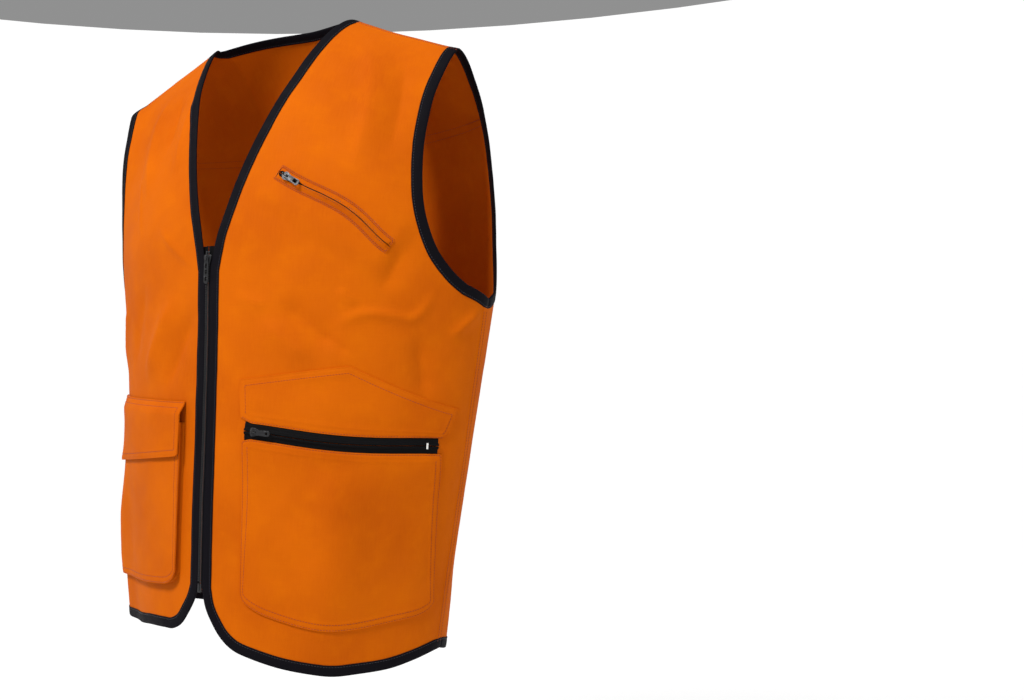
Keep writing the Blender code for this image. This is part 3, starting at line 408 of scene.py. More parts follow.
# ---------------------------------------------------------------- folds
# Each fold: back or front, height (a hollow is negative), width on either side of its crest, and the (x, z)
# points of its crest. x is positive on the wearer's left.
FOLDS = (
    # wearer's left front
    (False, 0.0026, 0.020, 0.011, ((0.112, -0.020), (0.138, -0.052), (0.148, -0.090), (0.149, -0.130),
                                   (0.143, -0.185))),
    (False, -0.0016, 0.012, 0.012, ((0.172, -0.050), (0.178, -0.100), (0.176, -0.160))),
    (False, 0.0018, 0.0045, 0.0075, ((0.127, -0.331), (0.144, -0.319), (0.161, -0.313), (0.181, -0.315),
                                     (0.196, -0.318),
                                    (0.206, -0.306), (0.215, -0.284))),
    (False, 0.0013, 0.0035, 0.005, ((0.138, -0.286), (0.145, -0.297), (0.155, -0.305))),
    (False, -0.0015, 0.006, 0.005, ((0.117, -0.332), (0.133, -0.342), (0.146, -0.358))),
    (False, -0.0026, 0.016, 0.012, ((0.078, -0.298), (0.105, -0.322), (0.139, -0.348))),
    (False, 0.0020, 0.012, 0.016, ((0.060, -0.315), (0.090, -0.340), (0.120, -0.362))),
    (False, 0.0019, 0.006, 0.008, ((0.219, -0.340), (0.231, -0.324), (0.2405, -0.308))),
    (False, -0.0024, 0.014, 0.012, ((0.199, -0.330), (0.202, -0.368), (0.204, -0.405))),
    (False, -0.0010, 0.005, 0.005, ((0.105, -0.382), (0.121, -0.388), (0.134, -0.397))),
    (False, 0.0050, 0.036, 0.030, ((0.145, -0.375), (0.138, -0.440), (0.133, -0.550), (0.131, -0.672))),
    (False, -0.0016, 0.014, 0.010, ((0.190, -0.235), (0.183, -0.268), (0.172, -0.296))),
    (False, 0.0012, 0.008, 0.012, ((0.030, -0.290), (0.052, -0.300), (0.078, -0.303))),
    # wearer's right front
    (False, 0.0036, 0.012, 0.018, ((-0.136, -0.040), (-0.134, -0.084), (-0.131, -0.122), (-0.118, -0.190))),
    (False, -0.0030, 0.012, 0.010, ((-0.106, -0.050), (-0.104, -0.092), (-0.098, -0.135))),
    (False, 0.0022, 0.010, 0.012, ((-0.070, -0.060), (-0.071, -0.108), (-0.066, -0.160))),
    (False, 0.0013, 0.006, 0.004, ((-0.092, -0.212), (-0.050, -0.244), (-0.014, -0.268))),
    (False, 0.0009, 0.004, 0.004, ((-0.148, -0.140), (-0.138, -0.185), (-0.126, -0.230))),
    (False, 0.0038, 0.016, 0.014, ((-0.046, -0.285), (-0.080, -0.336), (-0.108, -0.392))),
    (False, -0.0034, 0.012, 0.013, ((-0.016, -0.300), (-0.044, -0.348), (-0.068, -0.398))),
    (False, -0.0022, 0.014, 0.014, ((-0.112, -0.265), (-0.128, -0.315), (-0.142, -0.375))),
    (False, 0.0020, 0.014, 0.012, ((-0.165, -0.280), (-0.180, -0.330), (-0.188, -0.380))),
    (False, 0.0110, 0.024, 0.024, ((-0.2195, -0.0455), (-0.2120, -0.070), (-0.2060, -0.100),
                                   (-0.2035, -0.140),
                                   (-0.2040, -0.185), (-0.2100, -0.235)), (0.12, 0.70)),
    (False, 0.0075, 0.027, 0.027, ((-0.182, -0.430), (-0.172, -0.600), (-0.168, -0.780))),
    # back
    (True, -0.0026, 0.032, 0.032, ((0.206, -0.310), (0.201, -0.420), (0.195, -0.540), (0.190, -0.640))),
    (True, 0.0040, 0.014, 0.020, ((0.115, -0.112), (0.106, -0.220), (0.098, -0.380))),
    (True, 0.0040, 0.020, 0.014, ((-0.115, -0.112), (-0.108, -0.230), (-0.102, -0.400))),
    (True, -0.0030, 0.018, 0.018, ((0.020, -0.150), (0.030, -0.330), (0.034, -0.560))),
    (True, 0.0030, 0.022, 0.022, ((-0.040, -0.260), (-0.046, -0.430), (-0.050, -0.660))),
    (True, 0.0028, 0.020, 0.020, ((0.080, -0.330), (0.086, -0.500), (0.090, -0.680))),
)
KEEL_SLOPE = 0.20  # the two fronts meet at a soft ridge along the zip
KEEL_DROP = 0.0015


def lattice(i, j, k, seed):
    """A fixed value between -1 and 1 for each lattice point."""
    return 2 * np.modf(np.abs(np.sin(i * 127.1 + j * 311.7 + k * 74.7 + seed * 53.3) * 43758.5453))[0] - 1


def noise(points, size, seed):
    """Smooth noise between -1 and 1 with features of about the given size."""
    p = points / size
    base = np.floor(p)
    f = p - base
    f = f * f * (3 - 2 * f)
    total = 0.0
    for dx in (0, 1):
        for dy in (0, 1):
            for dz in (0, 1):
                share = ((f[..., 0] if dx else 1 - f[..., 0]) * (f[..., 1] if dy else 1 - f[..., 1])
                         * (f[..., 2] if dz else 1 - f[..., 2]))
                total = total + share * lattice(base[..., 0] + dx, base[..., 1] + dy, base[..., 2] + dz, seed)
    return total


def near_line(points, line):
    """For each point: its offset from the nearest point of a line, and how far along the line that lies."""
    start, run = line[:-1], np.diff(line, axis=0)
    lengths = np.linalg.norm(run, axis=1)
    at = np.concatenate([[0], np.cumsum(lengths)])
    rel = points[:, None, :] - start[None]
    t = np.clip((rel * run).sum(-1) / (lengths**2), 0, 1)
    gap = rel - t[..., None] * run
    best = (gap**2).sum(-1).argmin(axis=1)
    row = np.arange(len(points))
    return gap[row, best], run[best] / lengths[best, None], at[best] + t[row, best] * lengths[best], at[-1]


def fold_lines():
    made = []
    for back, height, before, after, crest, *eases in FOLDS:
        uv = line_uv(spline(crest, 5), back)
        made.append((on_body(uv), height if eases else FOLD_GAIN * height, before, after,
                     eases[0] if eases else (0.35, 0.35)))
    return made


FOLD_GAIN = 1.7
FOLD_LINES = fold_lines()


def fold_relief(points, normals):
    """Height of the folds at points of the body surface."""
    total = np.zeros(len(points))
    for line, height, before, after, (first, last) in FOLD_LINES:
        reach = 2.6 * max(before, after)
        low, high = line.min(0) - reach, line.max(0) + reach
        here = np.flatnonzero(((points > low) & (points < high)).all(axis=1))
        if not len(here):
            continue
        gap, run, at, length = near_line(points[here], line)
        left = (np.cross(normals[here], run) * gap).sum(-1) > 0
        width = np.where(left, before, after)
        ease = smooth(at / (first * length)) * smooth((length - at) / (last * length))
        ends = np.where((at <= 0) | (at >= length), 0.0, 1.0)
        off = np.linalg.norm(gap, axis=1) / width
        crisp = np.clip(1.6 - width / 0.012, 0, 0.6)
        bell = (1 - crisp) * np.exp(-off**2) + crisp * np.exp(-1.7 * (np.hypot(off, 0.15) - 0.15))
        total[here] += height * bell * ease * ends
    return total


def lay_under_zip(total, points, angle, path, level, half, fade, seen):
    """Brings the cloth to a level under a curved zip, fading out round it."""
    here = np.flatnonzero((np.cos(angle) > 0.05) & (angle > 0) & seen)
    s, h, r = path.place_of(points[here])
    weight = smooth(1 - (np.abs(h) - half) / fade) * smooth(1 - np.maximum(-s, s - path.length) / fade)
    total[here] += weight * (level - r - total[here])


SEAM_CALM = 0.14
CHEST_LEVEL = -0.0023
POCKET_LEVEL = -0.0024


def relief(uv):
    """How far the panels' cloth stands off the body surface."""
    uv = np.asarray(uv, float)
    shape = uv.shape[:-1]
    uv = uv.reshape(-1, 2)
    points, normals = on_body(uv), outward(uv)
    total = fold_relief(points, normals)
    total += (0.0011 * noise(points, 0.085, 1) + 0.0004 * noise(points, 0.034, 2)
              + 0.00012 * noise(points, 0.012, 3))
    x, z = np.abs(points[:, 0]), points[:, 2]
    front = np.cos(uv[:, 0]) > 0
    keel = KEEL_DROP * (1 - np.exp(-x * KEEL_SLOPE / KEEL_DROP)) * np.exp(-(x / 0.10) ** 2)
    total -= np.where(front, keel * smooth((-0.12 - z) / 0.15), 0.0)
    from_seam = np.abs(np.cos(uv[:, 0]))
    at_seam = smooth(1 - from_seam / SEAM_CALM) * smooth((UNDERARM_Z + 0.015 - z) / 0.015)
    total *= 1 - at_seam  # the side seams stay on the straight lines that the fronts swing about
    near = (z > -0.33) & (z < -0.08)
    lay_under_zip(total, points, uv[:, 0], chest_zip, CHEST_LEVEL, 0.017, 0.024, near)
    near = (z > -0.60) & (z < -0.33)
    lay_under_zip(total, points, uv[:, 0], pocket_zip, POCKET_LEVEL, 0.018, 0.050, near)
    return total.reshape(shape)


def surface(uv, height=0.0):
    """Points of the finished cloth's middle, or of what lies a height over it."""
    uv = np.asarray(uv, float)
    lift = relief(uv) + height
    return on_body(uv) + outward(uv) * lift[..., None]


# ---------------------------------------------------------------- meshes
def add_mesh(name, points, faces, material, uvs=None):
    """A mesh object. uvs holds each vertex's place on the cloth, in metres."""
    mesh = bpy.data.meshes.new(name)
    mesh.from_pydata(np.asarray(points).reshape(-1, 3).tolist(), [], faces)
    mesh.materials.append(material)
    if uvs is not None:
        layer = mesh.uv_layers.new(name="UVMap")
        corners = np.empty(len(mesh.loops), np.int32)
        mesh.loops.foreach_get("vertex_index", corners)
        layer.data.foreach_set("uv", np.asarray(uvs, np.float32).reshape(-1, 2)[corners].ravel())
    mesh.shade_smooth()
    made = bpy.data.objects.new(name, mesh)
    bpy.context.scene.collection.objects.link(made)
    return made


def quads(rows, columns, start=0, flip=False):
    """Faces of a grid of points."""
    i, j = np.meshgrid(np.arange(rows - 1), np.arange(columns - 1), indexing="ij")
    a = (start + i * columns + j).ravel()
    faces = np.stack([a, a + 1, a + columns + 1, a + columns], axis=1)
    return faces[:, ::-1] if flip else faces


def rim(rows, columns):
    """The border of a grid, as a closed loop of vertex numbers in the faces' direction."""
    bottom = np.arange(columns - 1)
    right = np.arange(rows - 1) * columns + columns - 1
    top = (rows - 1) * columns + np.arange(columns - 1, 0, -1)
    left = np.arange(rows - 1, 0, -1) * columns
    return np.concatenate([bottom, right, top, left])


SHARP = math.radians(55)


def cloth_sheet(name, top, bottom, material, uvs, sharp=True):
    """A closed sheet between two grids of points."""
    rows, columns = top.shape[:2]
    count = rows * columns
    loop = rim(rows, columns)
    after = np.roll(loop, -1)
    band = np.stack([loop, loop + count, after + count, after], axis=1)
    faces = np.concatenate([quads(rows, columns), quads(rows, columns, count, flip=True), band])
    points = np.concatenate([top.reshape(-1, 3), bottom.reshape(-1, 3)])
    if np.cross(top[0, 1] - top[0, 0], top[1, 0] - top[0, 0]) @ (top[0, 0] - bottom[0, 0]) < 0:
        faces = faces[:, ::-1]
    made = add_mesh(name, points, faces.tolist(), material, np.concatenate([uvs.reshape(-1, 2)] * 2))
    if sharp:
        made.data.set_sharp_from_angle(angle=SHARP)
    return made


def cloth_uv(uv):
    """Where points of the surface lie on the flat cloth, in metres."""
    return np.stack([uv[..., 0] * 0.205, uv[..., 1] * RISE], axis=-1)


def panel_sheet(name, uv, material, height=0.0, thickness=CLOTH):
    """A single layer of cloth over the surface."""
    middle_height = np.broadcast_to(np.asarray(height, float), uv.shape[:-1])
    lift = relief(uv) + middle_height
    base, normal = on_body(uv), outward(uv)
    top = base + normal * (lift + thickness / 2)[..., None]
    bottom = base + normal * (lift - thickness / 2)[..., None]
    return cloth_sheet(name, top, bottom, material, cloth_uv(uv))


# A binding's section, from its edge on the outer face, round the fold, to its edge on the inner face:
# distance in from the vest's edge and height over the cloth's middle, of the tape's outer and inner faces.
SECTION_OUTER = ((11.2, 0.42), (11.45, 0.78), (11.1, 1.06), (10.3, 1.12), (9.5, 0.92), (8.7, 1.12),
                 (5.2, 1.26),
                 (2.2, 1.22), (0.8, 1.02), (0.16, 0.56), (0.0, 0.0))
SECTION_INNER = ((11.0, 0.34), (10.95, 0.35), (10.8, 0.36), (10.2, 0.36), (9.5, 0.36), (8.7, 0.36),
                 (5.2, 0.36),
                 (2.4, 0.36), (1.4, 0.34), (1.0, 0.20), (0.9, 0.0))
MM = 0.001


def whole_section(half):
    """The section's points with the inner face's half added, as metres."""
    half = np.array(half) * MM
    return np.concatenate([half, (half * [1, -1])[-2::-1]])


def binding(name, edge, side, material, hold):
    """A folded tape over an edge. side says which way the cloth lies, and hold keeps points inside seams."""
    depths = np.linspace(0, 0.0116, 5)
    insets = np.stack([hold(inset(edge, depth, side)) for depth in depths])
    base = on_body(insets)
    normals = outward(insets)
    heights = relief(insets)
    rows = len(edge)
    run = np.concatenate([[0], np.cumsum(np.linalg.norm(np.diff(base[0], axis=0), axis=1))])
    wave = noise(base[0], 0.009, 7)

    def laid(section):
        points = np.empty((rows, len(section), 3))
        for k, (depth, height) in enumerate(section):
            share = np.clip(depth * (1 + 0.012 * wave) / depths[-1], 0, 1) * (len(depths) - 1)
            low = np.minimum(share.astype(int), len(depths) - 2)
            t = (share - low)[:, None]
            row = np.arange(rows)
            point = (1 - t) * base[low, row] + t * base[low + 1, row]
            normal = (1 - t) * normals[low, row] + t * normals[low + 1, row]
            lift = (1 - t[:, 0]) * heights[low, row] + t[:, 0] * heights[low + 1, row]
            points[:, k] = point + normal * (lift + height * (1 + 0.06 * wave))[:, None]
        return points

    outer, inner = laid(whole_section(SECTION_OUTER)), laid(whole_section(SECTION_INNER))
    across = np.concatenate([[0], np.cumsum(np.linalg.norm(np.diff(outer[0], axis=0), axis=1))])
    uvs = np.stack(np.broadcast_arrays(across[None, :], run[:, None]), axis=-1)
    return cloth_sheet(name, outer, inner, material, uvs, sharp=False)


def scatter(name, template, places, material):
    """Copies of a template (points, faces) at places, each a 3x4 matrix, in one mesh."""
    shape, faces = template
    places = np.asarray(places)
    points = np.einsum("nij,vj->nvi", places[:, :, :3], shape) + places[:, None, :, 3]
    count = len(shape)
    all_faces = [[v + k * count for v in face] for k in range(len(places)) for face in faces]
    return add_mesh(name, points, all_faces, material)


def capsule(length, radius, flat=0.8, dip=0.6):
    """A stitch: a thread that rises from the cloth and goes back into it."""
    stations = ((-0.5, 0.30, 1.0), (-0.40, 0.80, 0.55), (-0.15, 1.0, 0.05), (0.15, 1.0, 0.05),
                (0.40, 0.80, 0.55), (0.5, 0.30, 1.0))
    sides = 6
    points, faces = [], []
    for along, size, sink in stations:
        for k in range(sides):
            turn = 2 * math.pi * k / sides
            points.append((along * length, radius * size * math.cos(turn),
                           radius * (flat * size * math.sin(turn) - dip * sink)))
    for i in range(len(stations) - 1):
        for k in range(sides):
            a, b = i * sides + k, i * sides + (k + 1) % sides
            faces.append((a, b, b + sides, a + sides))
    faces.append(tuple(range(sides))[::-1])
    faces.append(tuple(range((len(stations) - 1) * sides, len(stations) * sides)))
    return np.array(points), faces


def places_along(points, normals, pitch, margin=0.0):
    """Places a pitch apart on a line of points: x along the line, z along the normals."""
    lengths = np.concatenate([[0], np.cumsum(np.linalg.norm(np.diff(points, axis=0), axis=1))])
    room = lengths[-1] - 2 * margin
    count = max(1, int(room / pitch))
    at = margin + (np.arange(count) + 0.5) * room / count

    def read(values, where):
        return np.stack([np.interp(where, lengths, values[:, k]) for k in range(3)], axis=-1)

    middle = read(points, at)
    x = read(points, np.minimum(at + 0.0006, lengths[-1])) - read(points, np.maximum(at - 0.0006, 0))
    x /= np.linalg.norm(x, axis=1, keepdims=True)
    z = read(normals, at)
    z -= x * (x * z).sum(-1, keepdims=True)
    z /= np.linalg.norm(z, axis=1, keepdims=True)
    return np.stack([x, np.cross(z, x), z, middle], axis=-1)


STITCH_PITCH = 0.0029
STITCH_LENGTH = 0.0023
STITCH_RADIUS = 0.00032


def stitches(name, rows, material, pitch=STITCH_PITCH, radius=STITCH_RADIUS):
    """Rows of stitches, each a line of points with its normals."""
    places = np.concatenate([places_along(points, normals, pitch) for points, normals in rows])
    return scatter(name, capsule(STITCH_LENGTH * pitch / STITCH_PITCH, radius), places, material)


def row_on(uv, height, side=1):
    """A line on the cloth's face for stitches: side is -1 for the inner face."""
    uv = even(uv, 0.002)
    return surface(uv, height), side * outward(uv)


# ---------------------------------------------------------------- the vest's edges
def front_edges(hem_points):
    """A front's outer edges, as surface lines on the wearer's left."""
    hem = line_uv(spline(hem_points + ((HEM_HALF_WIDTH, SIDE_HEM_Z),)))
    hem[-1] = (QUARTER, (SIDE_HEM_Z - CHEST_Z) / RISE)
    lengths = np.concatenate([[0], np.cumsum(np.linalg.norm(np.diff(on_body(hem), axis=0), axis=1))])
    corner = int(np.searchsorted(lengths, 0.040))
    centre = line_uv([(ZIP_EDGE_X, z) for z in np.linspace(-0.590, V_EDGE[0][1], 30)])
    v_top = np.array([[math.asin(NECK_X / TOP_HALF_WIDTH), 1.0]])
    under = np.array([[QUARTER, (UNDERARM_Z - CHEST_Z) / RISE]])
    tip = np.array([[math.asin(TIP_X / TOP_HALF_WIDTH), 1.0]])
    return {
        "centre": np.vstack([hem[: corner + 1][::-1], centre[1:]]),
        "v": np.vstack([line_uv(spline(V_EDGE)), v_top]),
        "hem": hem[corner:],
        "armhole": np.vstack([under, line_uv(spline(FRONT_ARMHOLE)), tip]),
    }


PANEL_INSET = 0.0011
SEAM_ZONE = 0.020


def held_front(uv):
    """Keeps a line on the front of the side seam and below the shoulder seam, with its ends on them."""
    uv = np.array(uv, float)
    uv[..., 0] = np.minimum(uv[..., 0], QUARTER)
    uv[..., 1] = np.minimum(uv[..., 1], 1.0)
    uv[0, 0] = QUARTER
    uv[-1, 1] = 1.0
    return uv


def front_lines(hem_points):
    """A front's panel grid, and the two edges that are bound, on the wearer's left."""
    edges = front_edges(hem_points)
    lower = resample(edges["centre"], np.linspace(0, 1, 121))
    shares = spacing(line_length(edges["v"]), CELL, high_zone=SEAM_ZONE)
    upper_v = resample(edges["v"], shares)
    upper_arm = resample(edges["armhole"], shares)
    across = spacing(line_length(edges["hem"]), CELL, high_zone=0.012, fine=0.0012)
    hem = resample(edges["hem"], across)
    whole = np.vstack([hem[::-1], lower[1:], upper_v[1:]])
    edge = held_front(inset(whole, PANEL_INSET, -1))
    arm = held_front(inset(upper_arm, PANEL_INSET, 1))
    bottom = edge[: len(hem)][::-1]
    left = edge[len(hem) - 1:]
    side = np.linspace(bottom[-1], arm[0], len(lower))
    right = np.vstack([side, arm[1:]])
    top = np.stack([np.interp(across, [0, 1], [left[-1, k], right[-1, k]]) for k in range(2)], axis=-1)
    rise = np.linspace(0, 1, len(left))
    return coons(bottom, top, left, right, across, rise), whole, upper_arm, right


def nape_edge():
    """The back neck edge, from the left neck point round the nape to the right one."""
    turn = np.linspace(0, math.pi, 121)
    x = NECK_X * np.cos(turn)
    nape_w = uv_of(0.0, NAPE_Z, back=True)[1]
    w = 1 - (1 - nape_w) * np.sin(turn) ** 1.5
    return np.stack([math.pi - np.arcsin(x / TOP_HALF_WIDTH), w], axis=-1)


def across_back(uv):
    """The same line on the wearer's right, as angles past the centre back."""
    return np.stack([2 * math.pi - uv[..., 0], uv[..., 1]], axis=-1)


def held_back(uv):
    uv = np.array(uv, float)
    uv[..., 0] = np.clip(uv[..., 0], QUARTER, 3 * QUARTER)
    uv[..., 1] = np.minimum(uv[..., 1], 1.0)
    return uv


def back_lines():
    """The back's bound edges: hem, neck, and the wearer's left armhole."""
    angles = np.linspace(QUARTER, 3 * QUARTER, 121)
    drop = BACK_HEM_DROP * np.abs(np.cos(angles)) ** 0.85
    hem = even(np.stack([angles, (SIDE_HEM_Z - drop - CHEST_Z) / RISE], axis=-1))
    under = np.array([[QUARTER, (UNDERARM_Z - CHEST_Z) / RISE]])
    tip = np.array([[math.pi - math.asin(TIP_X / TOP_HALF_WIDTH), 1.0]])
    armhole = even(np.vstack([under, line_uv(spline(BACK_ARMHOLE), back=True), tip]))
    return hem, even(nape_edge()), armhole


# ---------------------------------------------------------------- materials
class Nodes:
    """A material's node tree, with short ways to add and join nodes."""

    def __init__(self, name):
        self.material = bpy.data.materials.new(name)
        self.material.use_nodes = True
        self.tree = self.material.node_tree
        self.shader = self.tree.nodes["Principled BSDF"]

    def add(self, kind, **values):
        node = self.tree.nodes.new(kind)
        for key, value in values.items():
            if key in node.inputs:
                self.put(node.inputs[key], value)
            else:
                setattr(node, key, value)
        return node

    def put(self, socket, value):
        if isinstance(value, bpy.types.NodeSocket):
            self.tree.links.new(value, socket)
        else:
            socket.default_value = value

    def set(self, **values):
        for key, value in values.items():
            self.put(self.shader.inputs[key.replace("_", " ")], value)

    def cloth_place(self, scale, turn=0.0):
        """The flat cloth's metres, scaled by axis and turned."""
        uv = self.add("ShaderNodeTexCoord").outputs["UV"]
        return self.add("ShaderNodeMapping", Vector=uv, Scale=scale, Rotation=(0, 0, turn)).outputs["Vector"]

    def noise(self, place, scale=1.0, detail=2.0, rough=0.5):
        node = self.add("ShaderNodeTexNoise", Vector=place, Scale=scale, Detail=detail, Roughness=rough)
        return node.outputs["Fac"]

    def wave(self, place, scale, distortion=0.0):
        node = self.add("ShaderNodeTexWave", Vector=place, Scale=scale, Distortion=distortion, Detail=1.0)
        return node.outputs["Fac"]

    def between(self, value, low, high, to_low=0.0, to_high=1.0):
        node = self.add("ShaderNodeMapRange")
        for key, number in (("Value", value), ("From Min", low), ("From Max", high), ("To Min", to_low),
                            ("To Max", to_high)):
            self.put(node.inputs[key], number)
        return node.outputs["Result"]

    def mix(self, share, first, second, blend="MIX"):
        node = self.add("ShaderNodeMix", data_type="RGBA", blend_type=blend)
        for socket, value in zip((node.inputs[0], node.inputs[6], node.inputs[7]), (share, first, second)):
            self.put(socket, value)
        return node.outputs[2]

    def bump(self, height, distance, strength=1.0, normal=None):
        node = self.add("ShaderNodeBump", Height=height, Distance=distance, Strength=strength)
        if normal is not None:
            self.put(node.inputs["Normal"], normal)
        return node.outputs["Normal"]


WAVE_PERIOD = 0.3142  # length of one band of a Wave texture at scale 1


def colour(*rgb):
    return (*rgb, 1.0)


def twill_material(name, base, deep, light):
    """Cotton twill: diagonal ribs, uneven threads, and softly worn lighter and deeper areas."""
    n = Nodes(name)
    flat = n.cloth_place((1, 1, 1))
    broad = n.noise(flat, 9.0, 3.0)
    cloud = n.noise(flat, 38.0, 4.0, 0.6)
    warp = n.noise(n.cloth_place((900, 60, 1)), 1.0, 2.0)
    weft = n.noise(n.cloth_place((60, 900, 1)), 1.0, 2.0)
    rib = n.wave(n.cloth_place((1, 1, 1), math.radians(58)), WAVE_PERIOD / 0.0009, 0.6)
    tone = n.mix(n.between(broad, 0.30, 0.60), deep, base)
    tone = n.mix(n.between(cloud, 0.50, 0.80, 0.0, 0.35), tone, light)
    tone = n.mix(n.between(warp, 0.35, 0.70, 0.0, 0.16), tone, light)
    tone = n.mix(n.between(weft, 0.35, 0.70, 0.0, 0.14), tone, deep)
    tone = n.mix(n.between(rib, 0.0, 1.0, 0.10, 0.0), tone, deep)
    ribs = n.bump(rib, 0.00012, 0.55)
    threads = n.bump(warp, 0.00012, 0.45, ribs)
    n.set(Base_Color=tone, Roughness=n.between(cloud, 0.3, 0.7, 0.72, 0.84),
          Normal=n.bump(cloud, 0.0007, 0.35, threads))
    n.set(Sheen_Weight=0.03, Sheen_Roughness=0.45, Specular_IOR_Level=0.05)
    n.set(Sheen_Tint=colour(1.0, 0.55, 0.12))
    return n.material


def tape_material(name, base, light, rib_pitch, sheen):
    """Woven tape: fine ribs across its length and a dusty sheen."""
    n = Nodes(name)
    flat = n.cloth_place((1, 1, 1))
    ribs = n.wave(n.cloth_place((1, 1, 1), math.radians(45)), WAVE_PERIOD / rib_pitch, 0.8)
    dust = n.noise(flat, 60.0, 4.0, 0.6)
    fibre = n.noise(n.cloth_place((700, 160, 1)), 1.0, 2.0)
    tone = n.mix(n.between(ribs, 0.0, 1.0, 0.0, 0.35), base, light)
    tone = n.mix(n.between(dust, 0.45, 0.80, 0.0, 0.40), tone, light)
    tone = n.mix(n.between(fibre, 0.5, 0.8, 0.0, 0.25), tone, light)
    n.set(Base_Color=tone, Roughness=n.between(dust, 0.3, 0.7, 0.62, 0.78),
          Normal=n.bump(dust, 0.0004, 0.4, n.bump(ribs, 0.00012, 0.5)))
    n.set(Sheen_Weight=sheen, Sheen_Roughness=0.4, Specular_IOR_Level=0.08)
    return n.material


def hard_material(name, base, worn, metal, rough):
    """Moulded or painted metal and plastic, with mottled gloss and rubbed patches."""
    n = Nodes(name)
    place = n.add("ShaderNodeTexCoord").outputs["Object"]
    mottle = n.noise(place, 900.0, 3.0, 0.6)
    rub = n.noise(place, 260.0, 4.0, 0.7)
    n.set(Base_Color=n.mix(n.between(rub, 0.56, 0.74, 0.0, 0.75), base, worn), Metallic=metal,
          Roughness=n.between(mottle, 0.3, 0.7, rough - 0.08, rough + 0.10),
          Normal=n.bump(mottle, 0.00004, 0.4))
    n.set(Specular_IOR_Level=0.5)
    return n.material


def thread_material(name, base, light):
    """Twisted sewing thread."""
    n = Nodes(name)
    place = n.add("ShaderNodeTexCoord").outputs["Object"]
    fleck = n.noise(place, 1400.0, 2.0)
    n.set(Base_Color=n.mix(n.between(fleck, 0.35, 0.7), base, light), Roughness=0.7,
          Normal=n.bump(fleck, 0.00005, 0.5))
    n.set(Sheen_Weight=0.2, Sheen_Roughness=0.4, Specular_IOR_Level=0.3)
    return n.material


MATERIALS = {
    "orange": twill_material("orange_twill", colour(0.58, 0.110, 0.0002), colour(0.48, 0.080, 0.0001),
                             colour(0.66, 0.150, 0.0012)),
    "binding": tape_material("black_binding", colour(0.0016, 0.0011, 0.0028), colour(0.0050, 0.0040, 0.0070),
                             0.0008, 0.0),
    "tape": tape_material("black_zip_tape", colour(0.0018, 0.0017, 0.0020), colour(0.0055, 0.0054, 0.0060),
                          0.0006, 0.0),
    "teeth": hard_material("black_zip_teeth", colour(0.012, 0.012, 0.013), colour(0.045, 0.045, 0.048), 0.0,
                           0.38),
    "slider": hard_material("black_slider_metal", colour(0.030, 0.030, 0.032), colour(0.16, 0.16, 0.165),
                            0.65, 0.40),
    # The orange stitching thread is painted much darker than the cloth. This is painted shade for the shadow
    # in the stitch grooves, laid over the thread's own orange.
    "orange_thread_with_painted_shade": thread_material("orange_thread_with_painted_shade", colour(0.22, 0.018, 0.0006),
                                     colour(0.36, 0.042, 0.0010)),
    "black_thread": thread_material("black_thread", colour(0.010, 0.009, 0.014), colour(0.030, 0.027, 0.036)),
    "white_thread": thread_material("white_thread", colour(0.70, 0.69, 0.65), colour(0.82, 0.81, 0.78)),
    "hook": thread_material("touch_closure_orange", colour(0.42, 0.085, 0.010), colour(0.60, 0.16, 0.03)),
}


def follow_front(obj):
    """Bakes the piece's placement into its points."""
    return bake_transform(obj)


STEP = 0.0006  # how far an overlapping seam stands up


def seam_step(distance, width=0.0009):
    """A cloth edge that lies over the next piece: 1 where the distance to its edge is positive."""
    return smooth(0.5 + distance / width)


FORWARD_SEAM = 0.0135  # the shoulder seam lies this far in front of the shoulder line
SIDE_ROWS = (0.0016, 0.0080)
SIDE_RADIUS = 0.135  # metres of cloth for each radian of turn at the side seam
SEAM_LAP = 0.0018  # each front's side edge lies this far over the back


